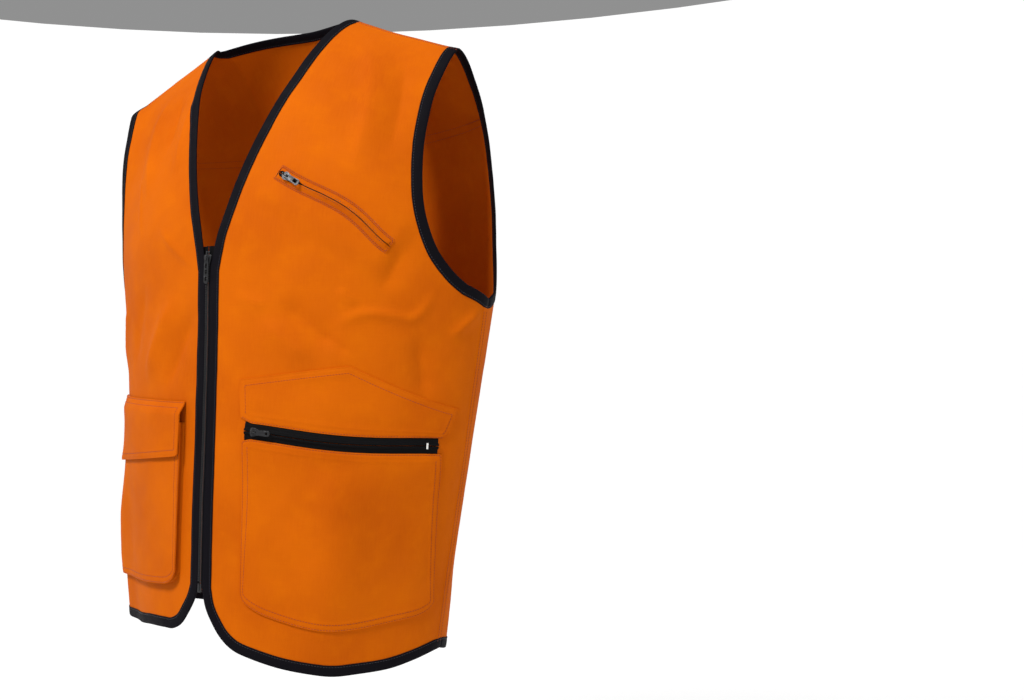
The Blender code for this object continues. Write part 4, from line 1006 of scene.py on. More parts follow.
def build_front(side, word):
    grid, whole, arm, side_edge = front_lines(FRONT_HEM if side > 0 else RIGHT_HEM)
    below = grid[:, -1, 1] < (UNDERARM_Z - CHEST_Z) / RISE
    grid[below, -1, 0] = QUARTER + SEAM_LAP / SIDE_RADIUS
    grid, whole, arm, side_edge = (sided(uv, side) for uv in (grid, whole, arm, side_edge))
    down = (1 - grid[..., 1]) * RISE
    shoulder = STEP * seam_step(FORWARD_SEAM - down)
    at_side = (QUARTER - np.abs(grid[..., 0])) * SIDE_RADIUS
    felled = STEP * seam_step(0.0096 - at_side)
    panel = panel_sheet(f"{word}_front", grid, MATERIALS["orange"], shoulder + felled)
    flip = -side

    def hold(uv):
        return sided(held_front(sided(uv, side)), side)

    edge = binding(f"{word}_front_edge_tape", whole, flip, MATERIALS["binding"], hold)
    hole = binding(f"{word}_front_armhole_tape", arm, side, MATERIALS["binding"], hold)
    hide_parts(f"{word}_front_panel")
    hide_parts(f"{word}_front_edge_binding")
    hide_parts(f"{word}_armhole_binding_front")
    rows = []
    for line, inwards in ((whole, flip), (arm, side)):
        row = hold(inset(line, 0.0095, inwards))
        rows.append(row_on(row, 0.00098))
        rows.append(row_on(row, -0.00098, -1))
    sewn = stitches(f"{word}_front_tape_stitching", rows, MATERIALS["black_thread"])
    top = grid[-1]
    seams = []
    for distance in (FORWARD_SEAM - 0.0016, FORWARD_SEAM - 0.0080):
        row = np.array(top)
        row[:, 1] = 1 - distance / RISE
        seams.append(row_on(row[3:-3], STEP + CLOTH / 2 + 0.0001))
    for distance in SIDE_ROWS:
        row = np.array(side_edge)
        above_hem = row[:, 1] > (SIDE_HEM_Z - CHEST_Z) / RISE + 0.02
        row = row[above_hem & (row[:, 1] < (UNDERARM_Z - CHEST_Z) / RISE - 0.045)]
        row[:, 0] = side * (QUARTER - distance / SIDE_RADIUS)
        seams.append(row_on(row, STEP + CLOTH / 2 + 0.0001))
    seam = stitches(f"{word}_front_seam_stitching", seams, MATERIALS["orange_thread_with_painted_shade"])
    for piece, slot in ((panel, "orange_cloth"), (edge, "binding_tape"), (hole, "binding_tape"),
                        (sewn, "binding_tape"), (seam, "orange_cloth")):
        follow_front(piece)


YOKE_ROWS = (0.0018, 0.0098)


def build_back():
    hem, neck, armhole = back_lines()
    seam_level = uv_of(0.18, YOKE_SEAM_Z, back=True)[1]
    arm_in = held_back(inset(armhole, PANEL_INSET, -1))
    arm_in[0, 0] = QUARTER
    arm_in[-1, 1] = 1.0
    hem_in = held_back(inset(hem, PANEL_INSET, 1))
    hem_in[0, 0], hem_in[-1, 0] = QUARTER, 3 * QUARTER
    neck_in = held_back(inset(neck, PANEL_INSET, -1))
    neck_in[0, 1] = neck_in[-1, 1] = 1.0
    split = int(np.argmin(np.abs(arm_in[:, 1] - seam_level)))
    start = arm_in[split]
    seam_x, _, seam_z = on_body(start)
    turns = np.linspace(start[0], 2 * math.pi - start[0], 200)
    seam = uv_of(TOP_HALF_WIDTH * np.sin(turns), seam_z, back=True)
    seam[:, 0] = turns

    side = np.linspace(hem_in[0], arm_in[0], 120)
    edge_line = np.vstack([side, arm_in[1: split + 1]])
    shares = spacing(line_length(edge_line), CELL, high_zone=0.012)
    edge = resample(edge_line, shares)
    columns = np.linspace(0, 1, 191)
    grid = coons(resample(hem_in, columns), resample(seam, columns), edge, across_back(edge), columns,
                 np.linspace(0, 1, len(edge)))
    panel = panel_sheet("back_cloth", grid, MATERIALS["orange"])

    yoke_line = arm_in[split:]
    shares = spacing(line_length(yoke_line), CELL, low_zone=0.014, high_zone=0.006)
    yoke_edge = resample(yoke_line, shares)
    shoulder = np.linspace(yoke_edge[-1], neck_in[0], 45)
    top_line = np.vstack([shoulder, neck_in[1:], across_back(shoulder)[::-1][1:]])
    columns = np.linspace(0, 1, 181)
    top = resample(top_line, columns)
    yoke_grid = coons(resample(seam, columns), top, yoke_edge, across_back(yoke_edge), columns,
                      np.linspace(0, 1, len(yoke_edge)))
    above = (yoke_grid[..., 1] - seam_level) * RISE
    roll = np.sqrt(np.clip(above / 0.0008, 0, 1))
    fold = STEP * (0.35 + 0.65 * roll) * (1 - 0.35 * smooth((above - 0.0115) / 0.002))
    yoke_grid[0, :, 1] -= 0.0012 / RISE
    yoke = panel_sheet("back_yoke_cloth", yoke_grid, MATERIALS["orange"], fold)
    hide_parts("back_panel")
    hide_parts("back_yoke")

    def hold_hem(uv):
        uv = held_back(uv)
        uv[0, 0], uv[-1, 0] = QUARTER, 3 * QUARTER
        return uv

    def hold_neck(uv):
        uv = held_back(uv)
        uv[0, 1] = uv[-1, 1] = 1.0
        return uv

    def hold_left(uv):
        uv = held_back(uv)
        uv[0, 0], uv[-1, 1] = QUARTER, 1.0
        return uv

    def hold_right(uv):
        uv = held_back(uv)
        uv[0, 0], uv[-1, 1] = 3 * QUARTER, 1.0
        return uv

    tapes, rows = [], []
    for name, line, inwards, hold, node in (
            ("back_hem_tape", hem, 1, hold_hem, "back_hem_binding"),
            ("back_neck_tape", neck, -1, hold_neck, "back_neck_binding"),
            ("left_back_armhole_tape", armhole, -1, hold_left, "left_armhole_binding_back"),
            ("right_back_armhole_tape", across_back(armhole), 1, hold_right, "right_armhole_binding_back")):
        tape = binding(name, line, inwards, MATERIALS["binding"], hold)
        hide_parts(node)
        tapes.append(tape)
        row = hold(inset(line, 0.0095, inwards))
        rows.append(row_on(row, 0.00098))
        rows.append(row_on(row, -0.00098, -1))
    sewn = stitches("back_tape_stitching", rows, MATERIALS["black_thread"])
    seams = []
    for distance in YOKE_ROWS:
        row = np.array(seam)
        row[:, 1] += distance / RISE
        row = row[4:-4]
        seams.append(row_on(row, STEP + CLOTH / 2 + 0.0001))
        seams.append(row_on(row, -CLOTH / 2 + 0.0002, -1))
    seam_rows = stitches("back_seam_stitching", seams, MATERIALS["orange_thread_with_painted_shade"])
    for piece, slot in ((panel, "orange_cloth"), (yoke, "orange_cloth"), (sewn, "binding_tape"),
                        (seam_rows, "orange_cloth"), *((tape, "binding_tape") for tape in tapes)):
        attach(piece, "shell")

# ---------------------------------------------------------------- patches
EDGE_STEPS = np.array([0, 0.30, 0.75, 1.5, 2.4, 4.6, 7.0, 7.9, 8.8]) * MM
NEAR_ROW, FAR_ROW = 3, 6  # the grid lines of a patch that carry its two rows of stitches
PATCH = 0.0013  # thickness of a patch with its turned edge
UNDER_PATCH = 0.0004


def respace(grid, count):
    """Moves the points of each line of a grid to the edge steps from either end, and evenly between."""
    out = np.empty((len(grid), 2 * len(EDGE_STEPS) + count, 2))
    for k, line in enumerate(grid):
        at = np.concatenate([[0], np.cumsum(np.linalg.norm(np.diff(on_body(line), axis=0), axis=1))])
        middle = np.linspace(EDGE_STEPS[-1], at[-1] - EDGE_STEPS[-1], count + 2)[1:-1]
        wanted = np.concatenate([EDGE_STEPS, middle, at[-1] - EDGE_STEPS[::-1]])
        out[k] = np.stack([np.interp(wanted, at, line[:, 0]), np.interp(wanted, at, line[:, 1])], axis=-1)
    return out


def patch_grid(bottom, top, left, right, cell=CELL):
    """A grid of surface parameters between four edges, with closer lines along each edge."""
    shares = np.linspace(0, 1, 71)
    grid = coons(resample(bottom, shares), resample(top, shares), resample(left, shares),
                 resample(right, shares),
                 shares, shares)
    tall = max(4, int((min(line_length(left), line_length(right)) - 0.017) / cell))
    wide = max(4, int((line_length(bottom) - 0.017) / cell))
    grid = respace(grid.transpose(1, 0, 2), tall).transpose(1, 0, 2)
    return respace(grid, wide)


def edge_distance(grid):
    """Each point's distance from the nearest edge of the grid."""
    points = on_body(grid)
    found = []
    for axis in (0, 1):
        steps = np.linalg.norm(np.diff(points, axis=axis), axis=-1)
        at = np.cumsum(steps, axis=axis)
        at = np.concatenate([np.zeros_like(at.take([0], axis)), at], axis=axis)
        found += [at, at.take([-1], axis) - at]
    return np.minimum.reduce(found)


def patch_profile(grid, seed, hem=0.0078):
    """Height of a patch's face over its underside: a rounded, turned edge, stitch grooves and small
    puckers."""
    d = edge_distance(grid)
    points = on_body(grid)
    round_edge = np.sqrt(np.clip(1 - (1 - np.clip(d / 0.0006, 0, 1)) ** 2, 0.03, 1))
    turned = 0.00035 * (1 - smooth((d - hem) / 0.0014))
    groove = 0.00040 * (np.exp(-((d - EDGE_STEPS[NEAR_ROW]) / 0.0007) ** 2)
                        + np.exp(-((d - EDGE_STEPS[FAR_ROW]) / 0.0007) ** 2))
    pucker = 0.00032 * noise(points, 0.0046, seed) * np.exp(-((d - 0.004) / 0.0045) ** 2)
    soft = 0.0005 * noise(points, 0.022, seed + 1) * smooth(d / 0.012)
    return round_edge * (PATCH + turned - groove + pucker + np.maximum(soft, -0.0003))


def patch(name, grid, seed, lift=0.0, rows=(("left", 1, 2), ("right", 1, 2), ("bottom", 1, 2), ("top", 1, 2)),
          thread="orange_thread_with_painted_shade"):
    """A patch of cloth with turned edges, and its rows of stitches on both sides named by rows."""
    base, normal = on_body(grid), outward(grid)
    height = np.broadcast_to(relief(grid) + lift, grid.shape[:2])
    bottom = base + normal * (height + UNDER_PATCH)[..., None]
    top = bottom + normal * patch_profile(grid, seed)[..., None]
    flat = cloth_uv(grid) + (0.31 * seed, 0.17 * seed)
    made = cloth_sheet(name, top, bottom, MATERIALS["orange"], flat)
    lines = []
    for side, *which in rows:
        for row in which:
            k = NEAR_ROW if row == 1 else FAR_ROW
            e = k if row == 1 else k
            pick = {"left": (slice(e, -e), k), "right": (slice(e, -e), -1 - k), "bottom": (k, slice(e, -e)),
                    "top": (-1 - k, slice(e, -e))}[side]
            lines.append((top[pick] + normal[pick] * 0.00012, normal[pick]))
    sewn = stitches(f"{name}_stitching", lines, MATERIALS[thread])
    return made, sewn


def straight(points, count=16):
    """Straight segments between (x, z) points, as a surface line."""
    points = np.asarray(points, float)
    parts = [np.linspace(a, b, count)[:-1] for a, b in zip(points[:-1], points[1:])]
    return line_uv(np.vstack([*parts, points[-1:]]))


def own(body, slot, *pieces):
    for piece in pieces:
        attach(piece, body)


# ---------------------------------------------------------------- zips
def sweep(name, at, stations, section, material, ribs=None):
    """A closed section (h, r) carried along a path. ribs gives (pitch, height) of ribs across its
    outer face."""
    stations = np.asarray(stations, float)
    section = np.array(section, float) * MM
    h = np.broadcast_to(section[:, 0], (len(stations), len(section)))
    r = np.broadcast_to(section[:, 1], h.shape).copy()
    if ribs:
        pitch, height = ribs
        r += height * np.sin(2 * math.pi * stations / pitch)[:, None] * (section[:, 1] > 0.0003)[None, :]
    points = at(stations[:, None], h, r)
    rows, columns = h.shape
    i, j = np.meshgrid(np.arange(rows - 1), np.arange(columns), indexing="ij")
    a, b = (i * columns + j).ravel(), (i * columns + (j + 1) % columns).ravel()
    faces = np.stack([a, b, b + columns, a + columns], axis=1).tolist()
    faces += [list(range(columns))[::-1], list(range((rows - 1) * columns, rows * columns))]
    around = np.concatenate([[0], np.cumsum(np.hypot(*np.diff(section, axis=0).T))])
    uvs = np.stack(np.broadcast_arrays(around[None, :], stations[:, None]), axis=-1)
    made = add_mesh(name, points, faces, material, uvs)
    made.data.set_sharp_from_angle(angle=SHARP)
    shape = bmesh.new()
    shape.from_mesh(made.data)
    bmesh.ops.recalc_face_normals(shape, faces=shape.faces[:])
    shape.to_mesh(made.data)
    shape.free()
    return made


def frames(path, s, h=0.0, r=0.0):
    """3x4 places on a path whose axes run along it, across it and outwards."""
    s = np.atleast_1d(np.asarray(s, float))
    here = path.at(s, h, r)
    along = path.at(s + 1e-5, h, r) - path.at(s - 1e-5, h, r)
    out = path.at(s, h, r + 1e-3) - here
    across = np.cross(out, along)
    axes = [v / np.linalg.norm(v, axis=1, keepdims=True) for v in (along, across, out)]
    return np.stack([*axes, here], axis=-1)


def box_template(x, y, z, bevel, segments=2):
    """A bevelled box between low and high values, as points and faces."""
    shape = bmesh.new()
    bmesh.ops.create_cube(shape, size=1.0)
    for vert in shape.verts:
        for k, (low, high) in enumerate((x, y, z)):
            vert.co[k] = 0.5 * (low + high) + vert.co[k] * (high - low)
    bmesh.ops.bevel(shape, geom=shape.edges[:], offset=bevel, segments=segments, profile=0.5, affect="EDGES")
    shape.verts.index_update()
    made = (np.array([vert.co[:] for vert in shape.verts]),
            [[v.index for v in face.verts] for face in shape.faces])
    shape.free()
    return made


def cut_plate(outlines, low, high, bevel):
    """A plate with rounded edges: the first outline is its border and the others are holes."""
    curve = bpy.data.curves.new("outline", "CURVE")
    curve.dimensions = "2D"
    curve.fill_mode = "BOTH"
    curve.extrude = (high - low) / 2 - bevel
    curve.bevel_depth = bevel
    curve.bevel_resolution = 2
    curve.offset = -bevel
    for outline in outlines:
        line = curve.splines.new("POLY")
        line.points.add(len(outline) - 1)
        for point, (x, y) in zip(line.points, outline):
            point.co = (x, y, 0, 1)
        line.use_cyclic_u = True
    holder = bpy.data.objects.new("outline", curve)
    mesh = bpy.data.meshes.new_from_object(holder)
    shape = bmesh.new()
    shape.from_mesh(mesh)
    bmesh.ops.remove_doubles(shape, verts=shape.verts[:], dist=2e-6)
    bmesh.ops.recalc_face_normals(shape, faces=shape.faces[:])
    shape.verts.index_update()
    points = np.array([vert.co[:] for vert in shape.verts]) + (0, 0, (low + high) / 2)
    faces = [[v.index for v in face.verts] for face in shape.faces]
    shape.free()
    bpy.data.objects.remove(holder)
    bpy.data.curves.remove(curve)
    bpy.data.meshes.remove(mesh)
    return points, faces


def rounded(x0, x1, half0, half1, radius, count=6):
    """A four-sided outline with rounded corners, of half width half0 at x0 and half1 at x1."""
    corners = ((x0, -half0), (x1, -half1), (x1, half1), (x0, half0))
    outline = []
    for k, corner in enumerate(corners):
        corner = np.array(corner)
        before, after = np.array(corners[k - 1]) - corner, np.array(corners[(k + 1) % 4]) - corner
        before, after = before / np.linalg.norm(before), after / np.linalg.norm(after)
        for t in np.linspace(0, 1, count):
            outline.append(corner + radius * ((1 - t) ** 2 * before + t**2 * after))
    return outline


def mirror_outline(half_line):
    return [*half_line, *[(x, -y) for x, y in half_line[::-1] if y > 1e-9]]


def joined(name, parts, place, material):
    """One object of several (points, faces) parts in the frame of a 3x4 place."""
    points, faces, start = [], [], 0
    for shape, sides in parts:
        points.append(np.asarray(shape) @ place[:, :3].T + place[:, 3])
        faces += [[v + start for v in side] for side in sides]
        start += len(shape)
    made = add_mesh(name, np.vstack(points), faces, material)
    made.data.set_sharp_from_angle(angle=math.radians(38))
    return made


SHIELD = ((-0.42, 0.0), (-0.42, 0.30), (-0.39, 0.74), (-0.33, 0.93), (-0.24, 1.0), (0.0, 0.97), (0.16, 0.84),
          (0.30, 0.72), (0.46, 0.66), (0.54, 0.58), (0.58, 0.34), (0.58, 0.0))
BRIDGE = ((-3.0, 1.9), (-3.0, 3.9), (-2.75, 4.5), (-2.3, 4.85), (-1.5, 5.05), (0.2, 5.05), (1.2, 4.85),
          (1.9, 4.4),
          (2.3, 3.7), (2.5, 1.9), (1.2, 1.9), (0.9, 3.7), (0.5, 4.15), (0.0, 4.32), (-1.4, 4.32), (-1.9, 4.1),
          (-2.1, 3.7), (-2.1, 1.9))


def turned(part):
    """A plate drawn in x and z, stood upright."""
    points, faces = part
    return np.stack([points[:, 0], -points[:, 2], points[:, 1]], axis=-1), faces


def slider(name, path, at, length, half):
    place = frames(path, at + LUG_SHARE * length)[0]
    shield = mirror_outline([(x * length, y * half) for x, y in SHIELD])
    inner = [(x * 0.62, y * 0.55) for x, y in shield]
    parts = [cut_plate([shield], *TOP_PLATE, 0.00035), cut_plate([shield], *BOTTOM_PLATE, 0.0003),
             cut_plate([inner], TOP_PLATE[1] - 0.0002, TOP_PLATE[1] + 0.00045, 0.00025),
             box_template((-0.36 * length, -0.24 * length), (-0.0004, 0.0004),
                          (BOTTOM_PLATE[0] + 0.0002, TOP_PLATE[1] - 0.0002), 0.0001),
             turned(cut_plate([[(x * MM, z * MM) for x, z in BRIDGE]], -0.0007, 0.0007, 0.0002))]
    return joined(name, parts, place, MATERIALS["slider"])


def pull(name, path, lug_at, outlines, extra=()):
    height = 0.5 * (PULL_PLATE[0] + PULL_PLATE[1])
    place = frames(path, lug_at - PIN_BACK, 0.0, height)[0]
    thick = 0.5 * (PULL_PLATE[1] - PULL_PLATE[0])
    parts = [cut_plate(outlines, -thick, thick, 0.00022), *extra]
    return joined(name, parts, place, MATERIALS["slider"])


CHEST_BOW = 0.0065  # the cloth's pull bends the two pocket zips sideways
POCKET_BOW = -0.0035
LUG_SHARE = 0.42
TOP_PLATE = (0.0015, 0.0024)
BOTTOM_PLATE = (-0.0032, -0.0023)
PULL_PLATE = (0.0031, 0.0042)
PIN_BACK = 0.0013
LUG_WINDOW = rounded(0.0006, 0.0042, 0.0010, 0.0010, 0.0004)


def tooth_rows(name, path, first, last, pitch, body, nub, material, side):
    """One side's moulded teeth: a body on the tape's edge and a nub that reaches past the middle."""
    s = np.arange(first + (0.25 if side > 0 else 0.75) * pitch, last, pitch)
    points, faces = body
    more, sides = nub
    shape = np.vstack([points, more]) * (1, side, 1)
    all_faces = [list(f) for f in faces] + [[v + len(points) for v in f] for f in sides]
    if side < 0:
        all_faces = [f[::-1] for f in all_faces]
    return scatter(name, (shape, all_faces), frames(path, s), material)


def build_front_zip():
    path = front_zip
    length = path.length
    stations = np.arange(-0.0085, length + 0.0022, 0.003)

    def on_cloth(s, h, r):
        """Follows the front's cloth where the tape runs under it."""
        flat = path.at(s, 0 * h, 0 * r)
        uv = uv_of(h, flat[..., 2])
        points = on_body(uv)
        lift = np.where(np.abs(h) > 0.0022, relief(uv), relief(uv_of(0 * h + 0.0003, flat[..., 2])))
        points = points + outward(uv) * (lift + r)[..., None]
        return points

    for side, word in ((1, "left"), (-1, "right")):
        section = [(0.5, -0.35), (2.2, -0.35), (3.0, -0.9), (4.2, -1.55), (12.0, -1.75), (12.0, -2.05),
                   (4.0, -1.95), (2.8, -1.4), (2.0, -0.95), (0.5, -0.95)]
        section = [(side * h, r) for h, r in section]
        tape = sweep(f"front_zip_{word}_tape", on_cloth, stations, section, MATERIALS["tape"])
        body = box_template((-0.00072, 0.00072), (0.0005, 0.0023), (-0.0011, 0.0011), 0.0003)
        nub = box_template((-0.00055, 0.00055), (-0.0001, 0.0009), (-0.0007, 0.0007), 0.00025)
        sunk = ShiftedPath(path, on_cloth)
        teeth = tooth_rows(f"front_zip_{word}_teeth", sunk, 0.001, length - 0.001, 0.0025, body, nub,
                           MATERIALS["teeth"], side)
        stop = joined(f"front_zip_{word}_top_stop",
                      [box_template((-0.0032, -0.0003), (0.0005, 0.0024), (-0.0012, 0.0011), 0.0004)],
                      mirror_place(frames(sunk, 0.0)[0], side), MATERIALS["slider"])
        own(f"front_{word}", "zip_tape", tape)
        own(f"front_{word}", "zip_chain", teeth)
        own(f"front_{word}", "slider_metal", stop)
        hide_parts(f"front_zip_tape_{word}")
        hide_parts(f"front_zip_chain_{word}")
        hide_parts(f"front_zip_top_stop_{word}")
    sunk = ShiftedPath(path, on_cloth)
    end = frames(sunk, length)[0]
    pin = joined("front_zip_end_pin", [box_template((0.0003, 0.0090), (0.0004, 0.0023), (-0.0010, 0.0010),
                                                    0.0006, 3)], end, MATERIALS["teeth"])
    box = joined("front_zip_end_box", [box_template((0.0023, 0.0095), (-0.0023, -0.0001), (-0.0022, 0.0012),
                                                    0.0006, 3),
                                       box_template((0.0002, 0.0030), (-0.0023, -0.0004), (-0.0010, 0.0010),
                                                    0.0004)], end, MATERIALS["teeth"])
    own("front_left", "zip_chain", pin)
    own("front_right", "zip_chain", box)
    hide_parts("front_zip_pin")
    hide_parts("front_zip_box")
    slide = slider("front_zip_slide_body", path, 0.0006, 0.0100, 0.0044)
    border = mirror_outline([(-0.0006, 0.0), (-0.0006, 0.0014), (-0.0002, 0.0021), (0.0050, 0.0021),
                             (0.0062, 0.0025),
                             (0.0250, 0.0026), (0.0262, 0.0022), (0.0269, 0.0012), (0.0270, 0.0)])
    holes = [rounded(a, b, 0.00125, 0.0013, 0.0004) for a,
             b in ((0.0062, 0.0112), (0.0130, 0.0180), (0.0198, 0.0248))]
    tab = pull("front_zip_pull_tab", path, 0.0006 + LUG_SHARE * 0.0100, [border, LUG_WINDOW, *holes])
    own("front_slider", "slider_metal", slide)
    own("front_pull", "slider_metal", tab)
    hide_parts("front_zip_slider")
    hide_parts("front_zip_pull")


class ShiftedPath:
    """The front zip's path, laid on the finished cloth."""

    def __init__(self, path, on_cloth):
        self.path, self.on_cloth, self.length = path, on_cloth, path.length

    def at(self, s, h, r):
        s, h, r = np.broadcast_arrays(np.asarray(s, float), np.asarray(h, float), np.asarray(r, float))
        return self.on_cloth(s, h, r)


class Bowed:
    """A curved zip's path whose cloth bows sideways between its ends."""

    def __init__(self, path, bow, lean):
        self.path, self.bow, self.lean, self.length = path, bow, lean, path.length

    def offset(self, s):
        t = np.clip(s / self.length, 0, 1) ** self.lean
        return self.bow * 16 * (t * (1 - t)) ** 2

    def at(self, s, h, r):
        s, h, r = np.broadcast_arrays(np.asarray(s, float), np.asarray(h, float), np.asarray(r, float))
        return self.path.at(s, h + self.offset(s), r)


def mirror_place(place, side):
    place = np.array(place)
    place[:, 1] *= side
    return place


def curved_tape(name, path, side, half, section, ribs):
    stations = np.arange(-0.0050, path.length + 0.0050, 0.0004)
    return sweep(name, path.at, stations, [(side * h, r) for h, r in section], MATERIALS["tape"], ribs)


def build_chest_pocket():
    straight_path = chest_zip
    path = Bowed(chest_zip, CHEST_BOW, 1.35)
    for side, word in ((1, "upper"), (-1, "lower")):
        tape = sweep(f"chest_zip_{word}_tape", path.at, np.arange(-0.0045, path.length + 0.0045, 0.003),
                     [(side * h, r) for h, r in ((0.5, -0.35), (2.2, -0.35), (3.0, -0.8), (5.0, -1.5),
                                                 (5.0, -1.9), (2.8, -1.3), (0.5, -1.1))],
                     MATERIALS["tape"])
        body = box_template((-0.00060, 0.00060), (0.0005, 0.0021), (-0.0010, 0.0010), 0.0003)
        nub = box_template((-0.00045, 0.00045), (-0.0001, 0.0009), (-0.0006, 0.0006), 0.0002)
        teeth = tooth_rows(f"chest_zip_{word}_teeth", path, 0.0005, path.length - 0.0005, 0.0021, body, nub,
                           MATERIALS["teeth"], side)
        stations = np.concatenate([[-0.0062, -0.0060, -0.0056],
                                   np.arange(-0.0050, path.length + 0.0050, 0.0012),
                                   path.length + np.array([0.0056, 0.0060, 0.0062])])
        s = stations[:, None]
        along = smooth((0.0300 - s) / 0.018) * smooth((s + 0.0040) / 0.0035)
        opening = 0.00055 + 0.0027 * along + 0.0002 * noise(np.stack([s, 0 * s, 0 * s], -1), 0.012, 31 + side)
        share = np.array([0, 0.04, 0.12, 0.3, 0.5, 0.66, 0.76, 0.82, 0.88, 0.94, 0.98, 1.0])[None, :]
        outer = 0.0072
        h = opening + (outer - opening) * share
        at_opening = np.exp(-((h - opening) / 0.0012) ** 2)
        crown = 0.0022 * smooth((outer - 0.0009 - h) / 0.0052) + 0.0009 * at_opening * (1 - 0.8 * along)
        edge = np.minimum(np.minimum(s + 0.0062, path.length + 0.0062 - s), outer - h)
        ends = smooth(np.minimum(s + 0.0062, path.length + 0.0062 - s) / 0.006)
        ripple = 0.00022 * noise(np.stack([s + 0 * h, h + 0 * s, 0 * s * h], -1), 0.0048, 41 + side)
        groove = 0.00034 * np.exp(-((edge - 0.0013) / 0.0006) ** 2)
        lip = -0.00185 + 0.0004 * np.sqrt(np.clip(edge / 0.0006, 0,
                                                  1)) + crown * ends - groove + ripple * smooth(edge / 0.001)
        thin = 0.00045 - 0.0002 * (share > 0.99)
        top, low = path.at(s, side * h, lip), path.at(s, side * h, lip - thin)
        uvs = np.stack(np.broadcast_arrays(s, side * h), axis=-1) + (1.9, 0.4 * side)
        welt = cloth_sheet(f"chest_{word}_lip", top, low, MATERIALS["orange"], uvs)
        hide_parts(f"chest_zip_tape_{word}")
        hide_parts(f"chest_zip_chain_{word}")
        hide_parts(f"chest_zip_welt_{word}")
        own("front_left", "zip_tape", tape)
        own("front_left", "zip_chain", teeth)
        own("front_left", "orange_cloth", welt)
    rows = []
    for reach in (0.0064, 0.0080):
        end = reach - 0.0018
        corners = [(-end, reach), (path.length + end, reach), (path.length + end, -reach), (-end, -reach),
                   (-end, reach)]
        for (s0, h0), (s1, h1) in zip(corners[:-1], corners[1:]):
            s, h = np.linspace(s0, s1, 60), np.linspace(h0, h1, 60)
            flat = path.at(s, h, 0 * s)
            uv = uv_of(flat[:, 0], flat[:, 2])
            level = surface(uv, 0.0006)
            found = straight_path.place_of(level)[2]
            r = np.where(reach < 0.0072, -0.00128, found)
            points = path.at(s, h, r)
            rows.append((points, path.at(s, h, r + 0.001) - points))
    sewn = stitches("chest_box_stitching", rows, MATERIALS["orange_thread_with_painted_shade"], 0.0024, 0.00034)
    own("front_left", "orange_cloth", sewn)
    (x0, z0), (x1, z1) = CHEST_ZIP_ENDS
    grid = np.zeros((40, 36, 2))
    for i, share in enumerate(np.linspace(0, 1, 40)):
        for j, across in enumerate(np.linspace(0, 1, 36)):
            x = 0.076 + 0.104 * across
            top = z0 + (z1 - z0) * (x - x0) / (x1 - x0) + 0.010
            grid[i, j] = uv_of(x, -0.315 + (top + 0.315) * share)
    inside = 0.0006 * smooth(edge_distance(grid) / 0.004)
    bag = panel_sheet("chest_bag_cloth", grid, MATERIALS["orange"], -0.0016 - inside, 0.0005)
    own("front_left", "orange_cloth", bag)
    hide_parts("chest_pocket_bag")
    slide = slider("chest_zip_slide_body", straight_path, 0.0040, 0.0090, 0.0040)
    border = mirror_outline([(-0.0006, 0.0), (-0.0006, 0.0014), (-0.0002, 0.0019), (0.0046, 0.0019),
                             (0.0060, 0.0023),
                             (0.0166, 0.0030), (0.0176, 0.0025), (0.0180, 0.0015), (0.0180, 0.0)])
    tab = pull("chest_zip_pull_tab", straight_path, 0.0040 + LUG_SHARE * 0.0090,
               [border, LUG_WINDOW, rounded(0.0112, 0.0158, 0.0016, 0.0017, 0.0005)])
    own("chest_slider", "slider_metal", slide)
    own("chest_pull", "slider_metal", tab)
    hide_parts("chest_zip_slider")
    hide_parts("chest_zip_pull")


